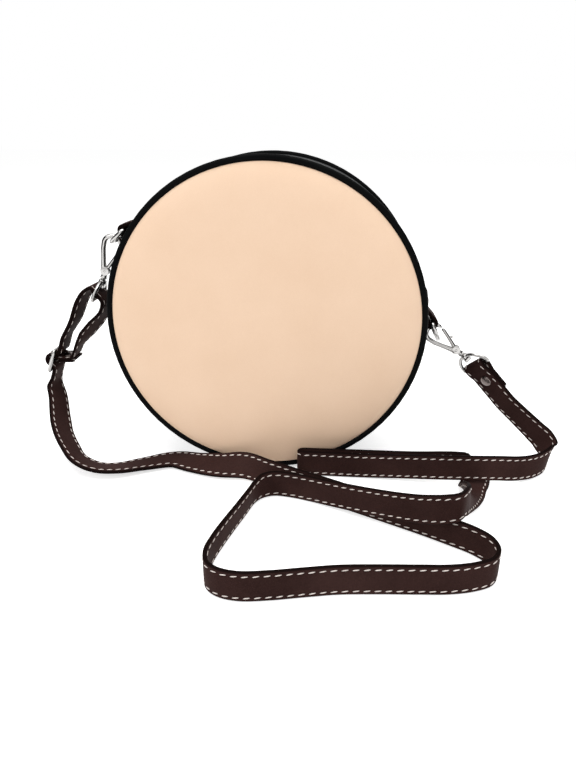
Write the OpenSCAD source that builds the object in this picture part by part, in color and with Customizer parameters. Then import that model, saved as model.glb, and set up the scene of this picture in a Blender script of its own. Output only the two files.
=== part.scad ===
// Round crossbody bag standing on its rim, with its strap laid down in front of it.
// Millimetres. +Z is up and -Y is the bag's front. The origin is on the floor under the bag.

/* [Bag] */
// Diameter of the bag over its piping
bag_d = 190; // [170:1:205]
// Depth of the bag from face to face
bag_depth = 65; // [58:1:74]
// Degrees that the bag has rolled to its right as it stands
roll = 16; // [12:1:18]
// Diameter of the piping
piping_d = 3.6; // [3:0.1:4.2]
// Thickness of the outer panels
panel_t = 1.6; // [1.2:0.1:1.8]
// Thickness of the foam behind the two faces
foam_t = 2.6; // [2:0.1:3]
// Thickness of the lining
lining_t = 0.8; // [0.6:0.1:1]
// Height by which each face stands proud of its edge
crown = 3.2; // [2.4:0.1:4]

/* [Zip] */
// Width of the closed row of teeth
chain_w = 4.6; // [4:0.1:5.2]
// Width of the zip's tape
tape_w = 13; // [11:0.5:15]
// Length of the zip slider
slider_l = 9; // [8:0.5:11]
// Length of the zip's pull tab
pull_l = 14; // [11:0.5:15]

/* [Tabs and D-rings] */
// Thickness of the tab leather
tab_t = 2.2; // [1.8:0.1:2.4]
// Width of the side tabs
tab_w = 19; // [17:0.5:21]
// Wire diameter of the D-rings
d_wire = 2.8; // [2.4:0.1:3.2]
// Distance from a D-ring's bar to the middle of its bow
d_depth = 13; // [12.5:0.1:13.5]
// Shank diameter of the rivets
rivet_d = 3; // [2.6:0.1:3.4]
// Head diameter of the rivets
rivet_head_d = 7; // [6:0.1:8]

/* [Clasps] */
// Length of a clasp from its gate pin to the end of its hook
clasp_l = 24.5; // [24:0.1:25.5]
// Width of a clasp across its hook
clasp_w = 14; // [13:0.1:14.6]
// Thickness of a clasp
clasp_t = 3.6; // [3:0.1:4.4]
// Diameter of the swivel post
post_d = 2.4; // [2:0.1:2.8]
// Wire diameter of the end rings
ring_wire = 2.4; // [2:0.1:2.6]

/* [Strap] */
// Width of the strap
strap_w = 16.5; // [15:0.1:17.5]
// Thickness of the strap
strap_t = 2.2; // [1.8:0.1:2.4]
// Thickness of the tail where it is skived round the adjuster's middle bar
tail_t = 1.4; // [1:0.1:1.5]
// Bar diameter of the adjuster
bar_d = 2.2; // [1.8:0.1:2.4]
// Distance from the adjuster's middle bar to its outer bars
bar_gap = 7.4; // [7.2:0.1:8.4]

/* [Hidden] */

// Running clearances: between soft pieces on different bodies, round a pin, and under a rivet head
soft_gap = 0.3;
pin_gap = 0.1;
seat_gap = 0.05;
over = 1;
round_fn = 96;
wire_fn = 32;

// The bag's rings: the piping's radius, the gusset wall and what lies inside it
foot_cut = 0.5;
bag_r = bag_d / 2;
ring_z = bag_r - foot_cut;
piping_r = bag_r - piping_d / 2;
half_depth = bag_depth / 2;
edge_z = half_depth - crown;
piping_z = edge_z - panel_t / 2;
wall_r = bag_r - 2;
wall_z = piping_z - piping_d / 2 - seat_gap;
seam_l = 5.4;
seam_r = wall_r - panel_t - seam_l;
panel_r = piping_r - piping_d / 2 - seat_gap;
shoulder_r = panel_r - 4 * crown;
inside_r = wall_r - panel_t - lining_t - 2 * seat_gap;
lining_z = wall_z - panel_t - seat_gap;

// The mouth opens above a straight fold in the front face
mouth_angle = 46;
fold_y = wall_r * cos(mouth_angle);
zip_angle = 60;
zip_gap = 0.45;
strip_z = 5;

// Tooth row, tape and slider as heights above the gusset's inner face
chain_r = wall_r - panel_t - 0.2;
chain_t = 1.9;
tape_t = 0.5;
plate_t = 1.1;
plate_gap = 0.25;
slider_angle = 57.5;
slider_w = 2 * strip_z - 1.2;
stop_l = 1.6;
pull_lift = 1.5;
pull_pin = 0.9;
pull_pin_lug = 1.3;

// Places of the side tabs, in degrees down from the bag's top
tab_top = 62.5;
rivet_angle = 68.5;
bar_angle = 75.5;
bar_lift = 7.5;
bar_r = wall_r + bar_lift;
wrap_gap = 0.15;
wrap_r = d_wire / 2 + wrap_gap + tab_t / 2;
bar_half = tab_w / 2 + d_wire / 2 + 0.4;
head_t = 1.4;
layer_gap = 0.2;
ball_ease = 0.1;

function unit(v) = v / norm(v);
function at_angle(a) = [bar_r * sin(a), 0, ring_z + bar_r * cos(a)];
function arc_points(c, r, a0, a1, n) = [for (i = [0 : n]) let (a = a0 + (a1 - a0) * i / n) c + r * [cos(a), sin(a)]];

// The two sides: where the D-rings hang, how the clasps lie and how the end rings turn
d_bar_left = at_angle(-bar_angle + roll);
d_bar_right = at_angle(bar_angle + roll);
d_dir_left = unit([-0.78, 0, -0.63]);
d_dir_right = unit([0.42, 0, -0.907]);
axis_left = unit([0.37, 0, 0.93]);
axis_right = unit([-0.80, 0.03, 0.60]);
lateral_left = [0.93, 0, -0.37];
lateral_right = [0.6, 0, 0.8];
lateral_to = unit(lateral_right - (lateral_right * axis_right) * axis_right);
ring_across_left = [0, -1, 0];
ring_across_right = [0.38, -0.62, 0.68];

// Clasp outline, measured from the gate pin: x runs to the hook's end and y to the gate
hook_r = clasp_w / 2;
hook_wire = 3.1;
hook_x = clasp_l - hook_r;
hook_seat = clasp_l - hook_wire - d_wire / 2 - soft_gap;
boss_r = 2.8;
neck_l = 4;
eye_x = 7.3;
eye_r = 2.4;
nut_w = 4.2;
nut_gap = 0.5;
gate_pin_d = 1.8;
gate_pin_l = clasp_t + 0.6;
gate_t = clasp_t - 1;
nose_angle = 100;
ring_half = strap_w / 2 + ring_wire / 2 + 1.2;
bar_x = eye_x + ring_half;

// The right clasp hangs from its D-ring's bar: both lengths less the part where they overlap
hook_lap = 8.8;
hang_l = clasp_l + d_depth - hook_lap;
pivot_left = d_bar_left + d_depth * d_dir_left - hook_seat * axis_left;
pivot_right = d_bar_right + hang_l * [0.655, 0.174, -0.7355];
ring_bar_left = pivot_left - bar_x * axis_left;
ring_bar_right = pivot_right - bar_x * axis_right;

// The adjuster's own frame: along the strap, out to the left and across the strap
along_slider = unit([0.36, 0, 0.93]);
out_slider = unit([-0.93, 0, 0.36]);
adjust_l = 52.8;
slider_mid = ring_bar_left + adjust_l * [-0.619, -0.018, -0.7845];
middle_bar_d = bar_d - 0.2;
outer_wrap = bar_d / 2 + soft_gap + strap_t / 2;
tail_wrap = middle_bar_d / 2 + wrap_gap + tail_t / 2;
middle_wrap = tail_wrap + tail_t / 2 + soft_gap + strap_t / 2;
cross_angle = asin((outer_wrap + middle_wrap) / bar_gap);
weave_half = 1.757 * bar_gap;
slider_half = strap_w / 2 + bar_d / 2 + 0.6;

function from_slider(s, n) = slider_mid + s * along_slider + n * out_slider;

// Strap fold round the right end ring
fold_l = 24;
fold_gap = 0.2;
fold_mid = (strap_t + fold_gap) / 2;
fold_wrap = ring_wire / 2 + soft_gap + strap_t / 2;
fold_rivet = 11;
tail_end = 20;
ring_across = unit(ring_across_right - (ring_across_right * axis_right) * axis_right);
fold_dir = unit([0.70, -0.29, -0.66] - ([0.70, -0.29, -0.66] * ring_across) * ring_across);
fold_out = cross(ring_across, fold_dir);
fold_end = ring_bar_right + fold_l * fold_dir - fold_mid * fold_out;

// The strap's route. Each row is a place on its middle line, then the way across it, towards
// the edge that lies uppermost. Hung rows are shares of the bag's diameter. Lying rows are too,
// counted from the face's plane, with heights as shares of the strap's width. Rows up to the left
// end ring and down from it are shares of adjust_l, counted from the ring's bar.
riser_shares = [
    [0.802, -0.018, 0.204, 0.43, -0.61, 0.66], [0.852, -0.032, 0.160, 0.38, -0.54, 0.74],
    [0.901, -0.045, 0.117, 0.32, -0.42, 0.82]];
lying_shares = [
    [0.934, 0.116, 1.000, 0.28, -0.25, 0.92], [0.950, 0.095, 0.670, 0.25, 0, 1],
    [0.941, 0.066, 0.545, 0.15, 0, 1], [0.913, 0.029, 0.520, 0.05, 0, 1],
    [0.871, -0.004, 0.535, 0, 0, 1], [0.816, -0.032, 0.610, 0, 0, 1],
    [0.747, -0.052, 0.720, 0, 0, 1], [0.674, -0.062, 0.760, 0, 0, 1],
    [0.579, -0.057, 0.700, 0, 0, 1], [0.474, -0.045, 0.600, 0, 0, 1],
    [0.316, -0.037, 0.520, 0, 0, 1], [0.158, -0.033, 0.505, 0, 0, 1],
    [0.121, -0.032, 0.505, 0, 0, 1], [0.112, -0.022, 0.505, 0, 0, 1],
    [0.121, -0.012, 0.505, 0, 0, 1], [0.158, -0.011, 0.505, 0, 0, 1],
    [0.316, -0.009, 0.505, 0, 0, 1], [0.474, -0.008, 0.505, 0, 0, 1],
    [0.568, -0.001, 0.510, 0, 0, 1], [0.628, 0.011, 0.510, -0.05, -0.25, 1],
    [0.670, 0.017, 0.490, -0.30, -0.50, 0.75], [0.695, -0.005, 0.270, -0.90, -0.35, 0.15],
    [0.684, -0.051, 0.100, -1, -0.05, 0.02], [0.666, -0.094, 0.150, -1, 0.02, 0.12],
    [0.652, -0.141, 0.330, -0.88, 0.05, 0.46], [0.634, -0.195, 0.620, -0.72, 0, 0.69],
    [0.618, -0.250, 0.950, -0.42, 0, 0.90], [0.600, -0.313, 1.300, -0.12, 0, 1],
    [0.582, -0.366, 1.580, 0, 0, 1], [0.558, -0.400, 1.620, 0, 0, 1],
    [0.524, -0.397, 1.490, 0, 0, 1], [0.479, -0.369, 1.240, 0, 0, 1],
    [0.421, -0.330, 1.000, 0, 0, 1], [0.347, -0.285, 0.790, 0, 0, 1],
    [0.274, -0.246, 0.650, 0, 0, 1], [0.211, -0.214, 0.560, 0, 0, 1],
    [0.153, -0.188, 0.510, 0, 0, 1], [0.095, -0.171, 0.505, 0, 0, 1],
    [0.042, -0.166, 0.505, 0, 0, 1], [0.008, -0.184, 0.510, 0.05, 0, 1],
    [-0.011, -0.218, 0.510, 0.15, 0, 1], [-0.029, -0.282, 0.510, 0.15, 0, 1],
    [-0.050, -0.355, 0.510, 0.15, 0, 1], [-0.071, -0.429, 0.510, 0.12, 0, 1],
    [-0.087, -0.497, 0.510, 0.08, 0, 1], [-0.092, -0.550, 0.505, 0, 0, 1],
    [-0.082, -0.595, 0.505, 0, 0, 1], [-0.053, -0.621, 0.505, 0, 0, 1],
    [0, -0.633, 0.505, 0, 0, 1], [0.074, -0.625, 0.505, 0, 0, 1],
    [0.158, -0.608, 0.505, 0, 0, 1], [0.242, -0.592, 0.505, 0, 0, 1],
    [0.337, -0.583, 0.505, 0, 0, 1], [0.442, -0.576, 0.505, 0, 0, 1],
    [0.516, -0.570, 0.505, 0, 0, 1], [0.579, -0.555, 0.505, 0, 0, 1],
    [0.624, -0.532, 0.505, 0, 0, 1], [0.645, -0.495, 0.505, 0, 0, 1],
    [0.639, -0.450, 0.505, 0, 0, 1], [0.605, -0.411, 0.505, 0, 0, 1],
    [0.547, -0.374, 0.505, 0, 0, 1], [0.474, -0.332, 0.505, 0, 0, 1],
    [0.379, -0.282, 0.505, 0, 0, 1], [0.284, -0.233, 0.505, 0, 0, 1],
    [0.189, -0.184, 0.505, 0, 0, 1], [0.105, -0.144, 0.510, 0, 0.05, 1],
    [0.021, -0.105, 0.510, 0, 0.25, 0.95], [-0.063, -0.061, 0.485, -0.10, 0.55, 0.80],
    [-0.147, -0.051, 0.390, -0.15, 0.85, 0.50], [-0.232, -0.023, 0.265, -0.10, 0.97, 0.25],
    [-0.316, 0.006, 0.180, 0, 1, 0.08], [-0.411, -0.029, 0.165, 0.10, 1, -0.08],
    [-0.489, -0.071, 0.220, 0.10, 1, -0.20], [-0.558, -0.082, 0.300, 0, 1, -0.25],
    [-0.621, -0.066, 0.520, -0.05, 1, -0.22], [-0.669, -0.021, 0.820, 0.15, 0.95, -0.30]];
drop_shares = [[-0.713, -0.134, 0.098, 0.30, 0.86, -0.40], [-0.745, -0.071, 0.130, 0.27, 0.91, -0.28],
    [-0.765, -0.025, 0.174, 0.22, 0.96, -0.12]];
up_shares = [
    [-0.320, -0.018, -0.294, -0.10, -1, 0], [-0.201, -0.011, -0.042, -0.15, -1, 0],
    [-0.107, 0, 0.084, -0.15, -1, 0], [-0.021, 0, 0.134, -0.05, -1, 0]];
down_shares = [
    [0.091, 0, -0.031, 0, -1, 0], [0.058, 0, -0.172, -0.05, -1, 0.10],
    [-0.068, 0, -0.330, -0.20, -1, 0.30], [-0.197, -0.007, -0.470, -0.20, -1, 0.30]];

function hung(rows) = [for (r = rows) [bag_d * [r[0], r[1], r[2]], [r[3], r[4], r[5]]]];
function by_ring(rows) = [for (r = rows) [ring_bar_left + adjust_l * [r[0], r[1], r[2]], [r[3], r[4], r[5]]]];
function laid(rows) =
    [for (r = rows) [[bag_d * r[0], bag_d * r[1] - half_depth, strap_w * r[2]], [r[3], r[4], r[5]]]];

floor_route = concat([[fold_end, ring_across]], hung(riser_shares), laid(lying_shares),
    hung(drop_shares), [[from_slider(-1.5 * weave_half, -outer_wrap), [0.12, 0.99, -0.04]],
     [from_slider(-weave_half - soft_gap, -outer_wrap), [0, 1, 0]]]);
// Numbers of the route points between which the stretches of the floor route run
floor_ends = concat([0, 5, 9, 14, 18, 22, 28, 33, 40, 44, 47, 51, 57, 63, 68, 73, 77], [len(floor_route) - 1]);

// The tail's own line: u leads from the middle bar to the tail's rivet, v across it
tail_u = unit([0.39, -0.92]);
tail_v = unit([0.92, 0.39]);
tail_rivet = 8;
tail_half = tail_t / 2 + seat_gap;
function tail_point(u, v) = u * tail_u + v * tail_v;
function tail_in(k) = tail_point((1.77 + 0.15 * k) * tail_rivet, (2.6 + 1.6 * k) * tail_t);
function tail_start(k) = let (p = tail_in(k)) from_slider(p[0], p[1]);

// Places round the left end ring: over its bar, a little clear of it
ring_over = fold_wrap;
band_route = concat([for (s = [weave_half + soft_gap, 1.3 * weave_half]) [from_slider(s, -outer_wrap), [0, -1, 0]]],
    by_ring(up_shares),
    [[ring_bar_left + ring_over * [0.25, 0, 1.5], [0, -1, 0]],
     [ring_bar_left + ring_over * [0.95, 0, 0.7], [0, -1, 0]]],
    by_ring(down_shares), [for (k = [1.5, 0.15]) [tail_start(k), [0, -1, 0]]]);
top_at = len(up_shares) + 3;

// Points between the route's own: a smooth curve whose speed follows the root of the spacing
ring_step = strap_w * 0.42;
function place(p, i) = p[i][0];
function knot(p, i) = sqrt(norm(place(p, i + 1) - place(p, i)));
function slope(p, i) =
    i == 0 ? (place(p, 1) - place(p, 0)) / knot(p, 0)
    : i == len(p) - 1 ? (place(p, i) - place(p, i - 1)) / knot(p, i - 1)
    : (place(p, i) - place(p, i - 1)) / knot(p, i - 1) + (place(p, i + 1) - place(p, i)) / knot(p, i)
        - (place(p, i + 1) - place(p, i - 1)) / (knot(p, i - 1) + knot(p, i));
function steps(p, i) = max(2, ceil(norm(place(p, i + 1) - place(p, i)) / ring_step));
function curve_place(p, i, s) =
    let (k = knot(p, i))
    (2 * s * s * s - 3 * s * s + 1) * place(p, i) + (s * s * s - 2 * s * s + s) * k * slope(p, i)
        + (3 * s * s - 2 * s * s * s) * place(p, i + 1) + (s * s * s - s * s) * k * slope(p, i + 1);
function curve_dir(p, i, s) =
    let (k = knot(p, i))
    unit((6 * s * s - 6 * s) * place(p, i) + (3 * s * s - 4 * s + 1) * k * slope(p, i)
        + (6 * s - 6 * s * s) * place(p, i + 1) + (3 * s * s - 2 * s) * k * slope(p, i + 1));
function curve_across(p, i, s) = (1 - s) * p[i][1] + s * p[i + 1][1];
// One cross-section of a strap: eight points, with its edges eased
function strap_section(c, d, across, t) =
    let (w = unit(across - (across * d) * d), n = cross(d, w), a = strap_w / 2, b = t / 2, e = t / 6)
    [for (q = [[b, a - e], [b - e, a], [e - b, a], [-b, a - e], [-b, e - a], [e - b, -a], [b - e, -a], [b, e - a]])
        c + q[0] * n + q[1] * w];
function strap_sections(p, from, to, t0, t1) =
    [for (i = [from : to - 1], j = [0 : steps(p, i) - (i == to - 1 ? 0 : 1)])
        let (s = j / steps(p, i), f = (i + s - from) / (to - from))
        strap_section(curve_place(p, i, s), curve_dir(p, i, s), curve_across(p, i, s), t0 + (t1 - t0) * f)];

module strap_stretch(p, from, to, t0 = strap_t, t1 = strap_t) {
    sections = strap_sections(p, from, to, t0, t1);
    sides = 8;
    last = len(sections) - 1;
    sheath = [for (i = [0 : last - 1], j = [0 : sides - 1])
        let (a = i * sides + j, b = i * sides + (j + 1) % sides)
        each [[a, b, a + sides], [b, b + sides, a + sides]]];
    caps = [[for (j = [0 : sides - 1]) sides - 1 - j], [for (j = [0 : sides - 1]) last * sides + j]];
    polyhedron(points = [for (s = sections) each s], faces = concat(sheath, caps));
}

module floor_stretch(k) {
    strap_stretch(floor_route, floor_ends[k], floor_ends[k + 1]);
}

// Puts what is drawn flat on the bag's face plane where the bag stands, with its top up
module in_bag() {
    translate([0, 0, ring_z]) rotate([90, 0, 0]) rotate(-roll) children();
}

module above_floor() {
    difference() {
        children();
        translate([-bag_d, -bag_d, -bag_d]) cube([2 * bag_d, 2 * bag_d, bag_d]);
    }
}

// Lays the x, y and z of what is drawn along three directions, from a place
module lay(at, x, y, z) {
    multmatrix([[x[0], y[0], z[0], at[0]], [x[1], y[1], z[1], at[1]], [x[2], y[2], z[2], at[2]], [0, 0, 0, 1]])
        children();
}

// A flat band of even thickness along a line of points
function ribbon(c, t) =
    let (n = len(c) - 1,
        out = [for (i = [0 : n]) let (d = unit(c[min(i + 1, n)] - c[max(i - 1, 0)])) t / 2 * [-d[1], d[0]]])
    concat([for (i = [0 : n]) c[i] + out[i]], [for (i = [n : -1 : 0]) c[i] - out[i]]);

// The front face's mouth and what stays below its fold
module mouth_side(z0) {
    intersection() {
        children();
        translate([-bag_d, fold_y + soft_gap / 2, z0]) cube([2 * bag_d, bag_d, bag_d]);
    }
}

module fold_side() {
    difference() {
        children();
        translate([-bag_d, fold_y - soft_gap / 2, 0]) cube([2 * bag_d, bag_d, bag_d]);
    }
}

module back_side() {
    mirror([0, 0, 1]) children();
}

// A dished sheet: flat in the middle and eased down to its edge, by the depth it lies behind the face
module dish(t, behind, edge, sink) {
    top = half_depth - behind;
    rotate_extrude($fn = round_fn)
        polygon([[0, top - t], [shoulder_r, top - t], [(shoulder_r + edge) / 2, top - t - sink * 0.25],
            [edge - sink / 2, top - t - sink * 0.75], [edge, top - t - sink], [edge, top - sink],
            [edge - sink / 2, top - sink * 0.7], [(shoulder_r + edge) / 2, top - sink * 0.2],
            [shoulder_r, top], [0, top]]);
}

module face_panel() {
    dish(panel_t, 0, panel_r, crown);
}

module face_foam() {
    dish(foam_t, panel_t + seat_gap, seam_r - seat_gap, crown * 0.7);
}

// The lining of a face lies on the foam and then under the turned-in edge of the gusset
module face_lining() {
    top = half_depth - panel_t - foam_t - 2 * seat_gap;
    rotate_extrude($fn = round_fn)
        polygon([[0, top - lining_t], [shoulder_r - lining_t / 3, top - lining_t],
            [seam_r - lining_t / 3 - seat_gap, lining_z - lining_t], [inside_r - seat_gap, lining_z - lining_t],
            [inside_r - seat_gap, lining_z], [seam_r - seat_gap, lining_z], [shoulder_r, top], [0, top]]);
}

module face_piping() {
    rotate_extrude($fn = round_fn) translate([piping_r, piping_z]) circle(d = piping_d, $fn = wire_fn);
}

// The gusset wall with its two turned-in seam edges
module gusset_ring() {
    rotate_extrude($fn = round_fn)
        polygon([[wall_r, -wall_z], [wall_r, wall_z], [seam_r, wall_z], [seam_r, wall_z - panel_t],
            [wall_r - panel_t, wall_z - panel_t], [wall_r - panel_t, panel_t - wall_z],
            [seam_r, panel_t - wall_z], [seam_r, -wall_z]]);
}

// A ring standing between two radii and two depths, cut to a sector either side of the bag's top
module top_band(r0, r1, z0, z1, angle) {
    rotate(90 - angle) rotate_extrude(angle = 2 * angle, $fn = round_fn)
        translate([r0, z0]) square([r1 - r0, z1 - z0]);
}

module back_panel() {
    color([0.93, 0.81, 0.68]) in_bag() back_side() face_panel();
}

module back_foam() {
    color("Gainsboro") in_bag() back_side() face_foam();
}

module back_lining() {
    color([0.16, 0.15, 0.16]) in_bag() back_side() face_lining();
}

module back_piping() {
    color([0.05, 0.06, 0.07]) above_floor() in_bag() back_side() face_piping();
}

module front_panel() {
    color([0.95, 0.83, 0.71]) in_bag() fold_side() face_panel();
}

module front_foam() {
    color("Gainsboro") in_bag() fold_side() face_foam();
}

module front_lining() {
    color([0.16, 0.15, 0.16]) in_bag() fold_side() face_lining();
}

module front_piping() {
    color([0.05, 0.06, 0.07]) above_floor() in_bag() fold_side() face_piping();
}

module mouth_panel() {
    color([0.95, 0.83, 0.71]) in_bag() mouth_side(0) face_panel();
}

module mouth_foam() {
    color("Gainsboro") in_bag() mouth_side(0) face_foam();
}

module mouth_lining() {
    color([0.16, 0.15, 0.16]) in_bag() mouth_side(0) face_lining();
}

module mouth_piping() {
    color([0.05, 0.06, 0.07]) in_bag() mouth_side(0) face_piping();
}

module gusset_base() {
    color([0.06, 0.06, 0.07]) in_bag() difference() {
        gusset_ring();
        translate([-bag_d, fold_y, -bag_depth]) cube([2 * bag_d, bag_d, 2 * bag_depth]);
        top_band(seam_r, bag_r, -strip_z, strip_z, zip_angle + 1.5);
        tab_holes();
    }
}

// The lining of the gusset, cut away under the zip and the strip that opens with the mouth
module gusset_lining() {
    color([0.16, 0.15, 0.16]) in_bag() difference() {
        rotate_extrude($fn = round_fn) translate([inside_r, -lining_z]) square([lining_t, 2 * lining_z]);
        top_band(seam_r, wall_r, -tape_w / 2 - soft_gap, bag_depth, zip_angle + 4);
        tab_holes();
    }
}

module slip_pocket() {
    pocket_w = bag_d * 0.5;
    pocket_h = bag_d * 0.36;
    pocket_z = half_depth - panel_t - foam_t - lining_t - 4 * seat_gap;
    hem = 3;
    color([0.20, 0.19, 0.20]) in_bag() back_side() difference() {
        translate([-pocket_w / 2, -pocket_h * 0.7, pocket_z - 2 * lining_t - hem / 2])
            cube([pocket_w, pocket_h, 2 * lining_t + hem / 2]);
        translate([-pocket_w / 2 + hem, hem - pocket_h * 0.7, pocket_z - lining_t - hem / 2])
            cube([pocket_w - 2 * hem, pocket_h, 2 * lining_t + hem]);
    }
}

module zip_strip_back() {
    color([0.06, 0.06, 0.07]) in_bag() intersection() {
        gusset_ring();
        translate([-bag_d, fold_y, -bag_depth]) cube([2 * bag_d, bag_d, bag_depth - strip_z]);
    }
}

module zip_strip_front() {
    color([0.06, 0.06, 0.07]) in_bag() mouth_side(strip_z) gusset_ring();
}

// Half of the zip: a row of teeth and its tape, which runs under the leather
module zip_half() {
    union() {
        top_band(chain_r, chain_r + chain_t, zip_gap, chain_w / 2, zip_angle);
        top_band(chain_r, chain_r + tape_t, chain_w / 2 - seat_gap, strip_z - seat_gap, zip_angle);
        top_band(chain_r - tape_t, chain_r + seat_gap, chain_w / 2 + seat_gap, tape_w / 2, zip_angle);
    }
}

module zip_chain_back() {
    color([0.12, 0.12, 0.13]) in_bag() back_side() difference() {
        zip_half();
        translate([-bag_d, fold_y - bag_d, -bag_depth]) cube([2 * bag_d, bag_d, 2 * bag_depth]);
    }
}

module zip_chain_front() {
    color([0.12, 0.12, 0.13]) in_bag() mouth_side(0) zip_half();
}

module zip_ends() {
    color([0.12, 0.12, 0.13]) in_bag() difference() {
        union() {
            zip_half();
            back_side() zip_half();
            for (side = [-1, 1])
                rotate(-side * (zip_angle + 0.3)) translate([0, chain_r + chain_t / 2, 0])
                    cube([stop_l, chain_t, chain_w], center = true);
        }
        translate([-bag_d, fold_y, -bag_depth]) cube([2 * bag_d, bag_d, 2 * bag_depth]);
    }
}

module zip_slider() {
    top_r = chain_r + chain_t + plate_gap;
    low_r = chain_r - tape_t - plate_gap - plate_t;
    color("Silver") in_bag() rotate(slider_angle) difference() {
        union() {
            translate([-slider_l / 2, top_r, -slider_w / 2]) cube([slider_l, plate_t, slider_w]);
            translate([-slider_l / 2, low_r, -slider_w / 2]) cube([slider_l, plate_t, slider_w]);
            translate([-slider_l / 5, low_r, -zip_gap / 2])
                cube([slider_l / 2.5, top_r - low_r + plate_t, zip_gap]);
            for (side = [-1, 1])
                translate([-slider_l / 4, top_r, side * slider_w / 4 - plate_t / 2])
                    cube([slider_l / 4, plate_t + pull_lift, plate_t]);
        }
        translate([-slider_l / 8, top_r + plate_t + pull_lift / 2, 0])
            cylinder(d = pull_pin + 2 * pin_gap, h = slider_w, center = true, $fn = wire_fn);
    }
}

// The pull tab lies along the slider, hung on a pin between its two cheeks
module zip_pull() {
    pin_r = chain_r + chain_t + plate_gap + plate_t + pull_lift / 2;
    pull_w = slider_w / 2 - plate_t - 2 * pin_gap;
    color("Silver") in_bag() rotate(slider_angle) translate([-slider_l / 8, pin_r, 0]) union() {
        cylinder(d = pull_pin, h = slider_w / 2 + plate_t, center = true, $fn = wire_fn);
        cylinder(d = pull_pin_lug, h = pull_w, center = true, $fn = wire_fn);
        translate([0, -pull_pin / 2, -pull_w / 2]) cube([slider_l / 3, pull_pin, pull_w]);
        translate([slider_l / 3 - seat_gap, -pull_pin / 2, -slider_w / 3]) 
            cube([pull_l - slider_l / 3, pull_pin, slider_w / 1.5]);
    }
}

// Rivet holes of both tabs, through all the layers there
module tab_holes() {
    for (side = [-1, 1])
        rotate(-side * rivet_angle) rotate([-90, 0, 0]) cylinder(d = rivet_d + seat_gap, h = bag_d, $fn = wire_fn);
}

// A tab: one strip laid on the gusset, led round the D-ring's bar and back over itself. Below
// the rivet both layers lift away from the gusset towards the bar.
tab_low = wall_r + seat_gap + tab_t / 2;
tab_high = tab_low + tab_t + layer_gap;
lift_from = rivet_angle + 2.2;
lift_ease = 0.12;
function polar(r, a) = r * [sin(a), cos(a)];
function tab_line() =
    let (turn = 90 - bar_angle)
    concat([for (a = [tab_top : 2 : lift_from - 1]) polar(tab_low, a)], [polar(tab_low + lift_ease, lift_from)],
        arc_points(polar(bar_r, bar_angle), wrap_r, turn + 200, turn + 398, 14),
        [polar(tab_high + lift_ease, lift_from)],
        [for (a = [lift_from - 1.2 : -2 : tab_top]) polar(tab_high, a)]);

module tab() {
    difference() {
        linear_extrude(tab_w, center = true) polygon(ribbon(tab_line(), tab_t));
        rotate(-rivet_angle) rotate([-90, 0, 0]) cylinder(d = rivet_d + seat_gap, h = bag_d, $fn = wire_fn);
    }
}

module tab_right() {
    color([0.27, 0.17, 0.15]) in_bag() tab();
}

module tab_left() {
    color([0.27, 0.17, 0.15]) in_bag() mirror([1, 0, 0]) tab();
}

// A rivet: a shank, a domed head outside and a flat head inside
module rivet(grip) {
    cylinder(d = rivet_d, h = grip, $fn = wire_fn);
    translate([0, 0, -head_t / 2]) cylinder(d = rivet_head_d * 0.9, h = head_t / 2, $fn = wire_fn);
    translate([0, 0, grip]) cylinder(d = rivet_head_d, h = head_t / 2, $fn = wire_fn);
    translate([0, 0, grip + head_t / 2]) cylinder(d1 = rivet_head_d, d2 = rivet_head_d * 0.55, h = head_t / 2, $fn = wire_fn);
}

module tab_rivets() {
    low = inside_r - seat_gap;
    high = tab_high + tab_t / 2 + seat_gap;
    color([0.30, 0.26, 0.25]) in_bag()
        for (side = [-1, 1])
            rotate(-side * rivet_angle) rotate([-90, 0, 0]) translate([0, 0, low]) rivet(high - low);
}

// A ring of round wire: a straight bar across and a round bow, with x leading from bar to bow
module wire_bow(half, leg, wire) {
    union() {
        rotate([90, 0, 0]) cylinder(d = wire, h = 2 * half, center = true, $fn = wire_fn);
        for (side = [-1, 1])
            translate([0, side * half, 0]) sphere(d = wire + ball_ease, $fn = wire_fn);
        if (leg > 0)
            for (side = [-1, 1])
                translate([0, side * half, 0]) rotate([0, 90, 0]) cylinder(d = wire, h = leg, $fn = wire_fn);
        translate([leg, 0, 0]) rotate(-90)
            rotate_extrude(angle = 180, $fn = round_fn) translate([half, 0]) circle(d = wire, $fn = wire_fn);
    }
}

module d_ring_left() {
    color("Silver") lay(d_bar_left, d_dir_left, [0, 1, 0], cross(d_dir_left, [0, 1, 0]))
        wire_bow(bar_half, d_depth - bar_half, d_wire);
}

module d_ring_right() {
    color("Silver") lay(d_bar_right, d_dir_right, [0, 1, 0], cross(d_dir_right, [0, 1, 0]))
        wire_bow(bar_half, d_depth - bar_half, d_wire);
}

// An end ring, with x along the swivel: the bar for the strap and an eye in the bow for the post
module end_ring() {
    difference() {
        union() {
            translate([-bar_x, 0, 0]) wire_bow(ring_half, 0, ring_wire);
            translate([-eye_x, 0, 0]) rotate([0, 90, 0])
                cylinder(r = eye_r, h = ring_wire - 4 * seat_gap, center = true, $fn = wire_fn);
        }
        translate([-eye_x, 0, 0]) rotate([0, 90, 0])
            cylinder(d = post_d + 2 * pin_gap, h = 2 * ring_wire, center = true, $fn = wire_fn);
    }
}

module end_ring_left() {
    color("Silver") lay(pivot_left, axis_left, ring_across_left, cross(axis_left, ring_across_left)) end_ring();
}

module end_ring_right() {
    color("Silver") lay(pivot_right, axis_right, ring_across, cross(axis_right, ring_across)) end_ring();
}

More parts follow.
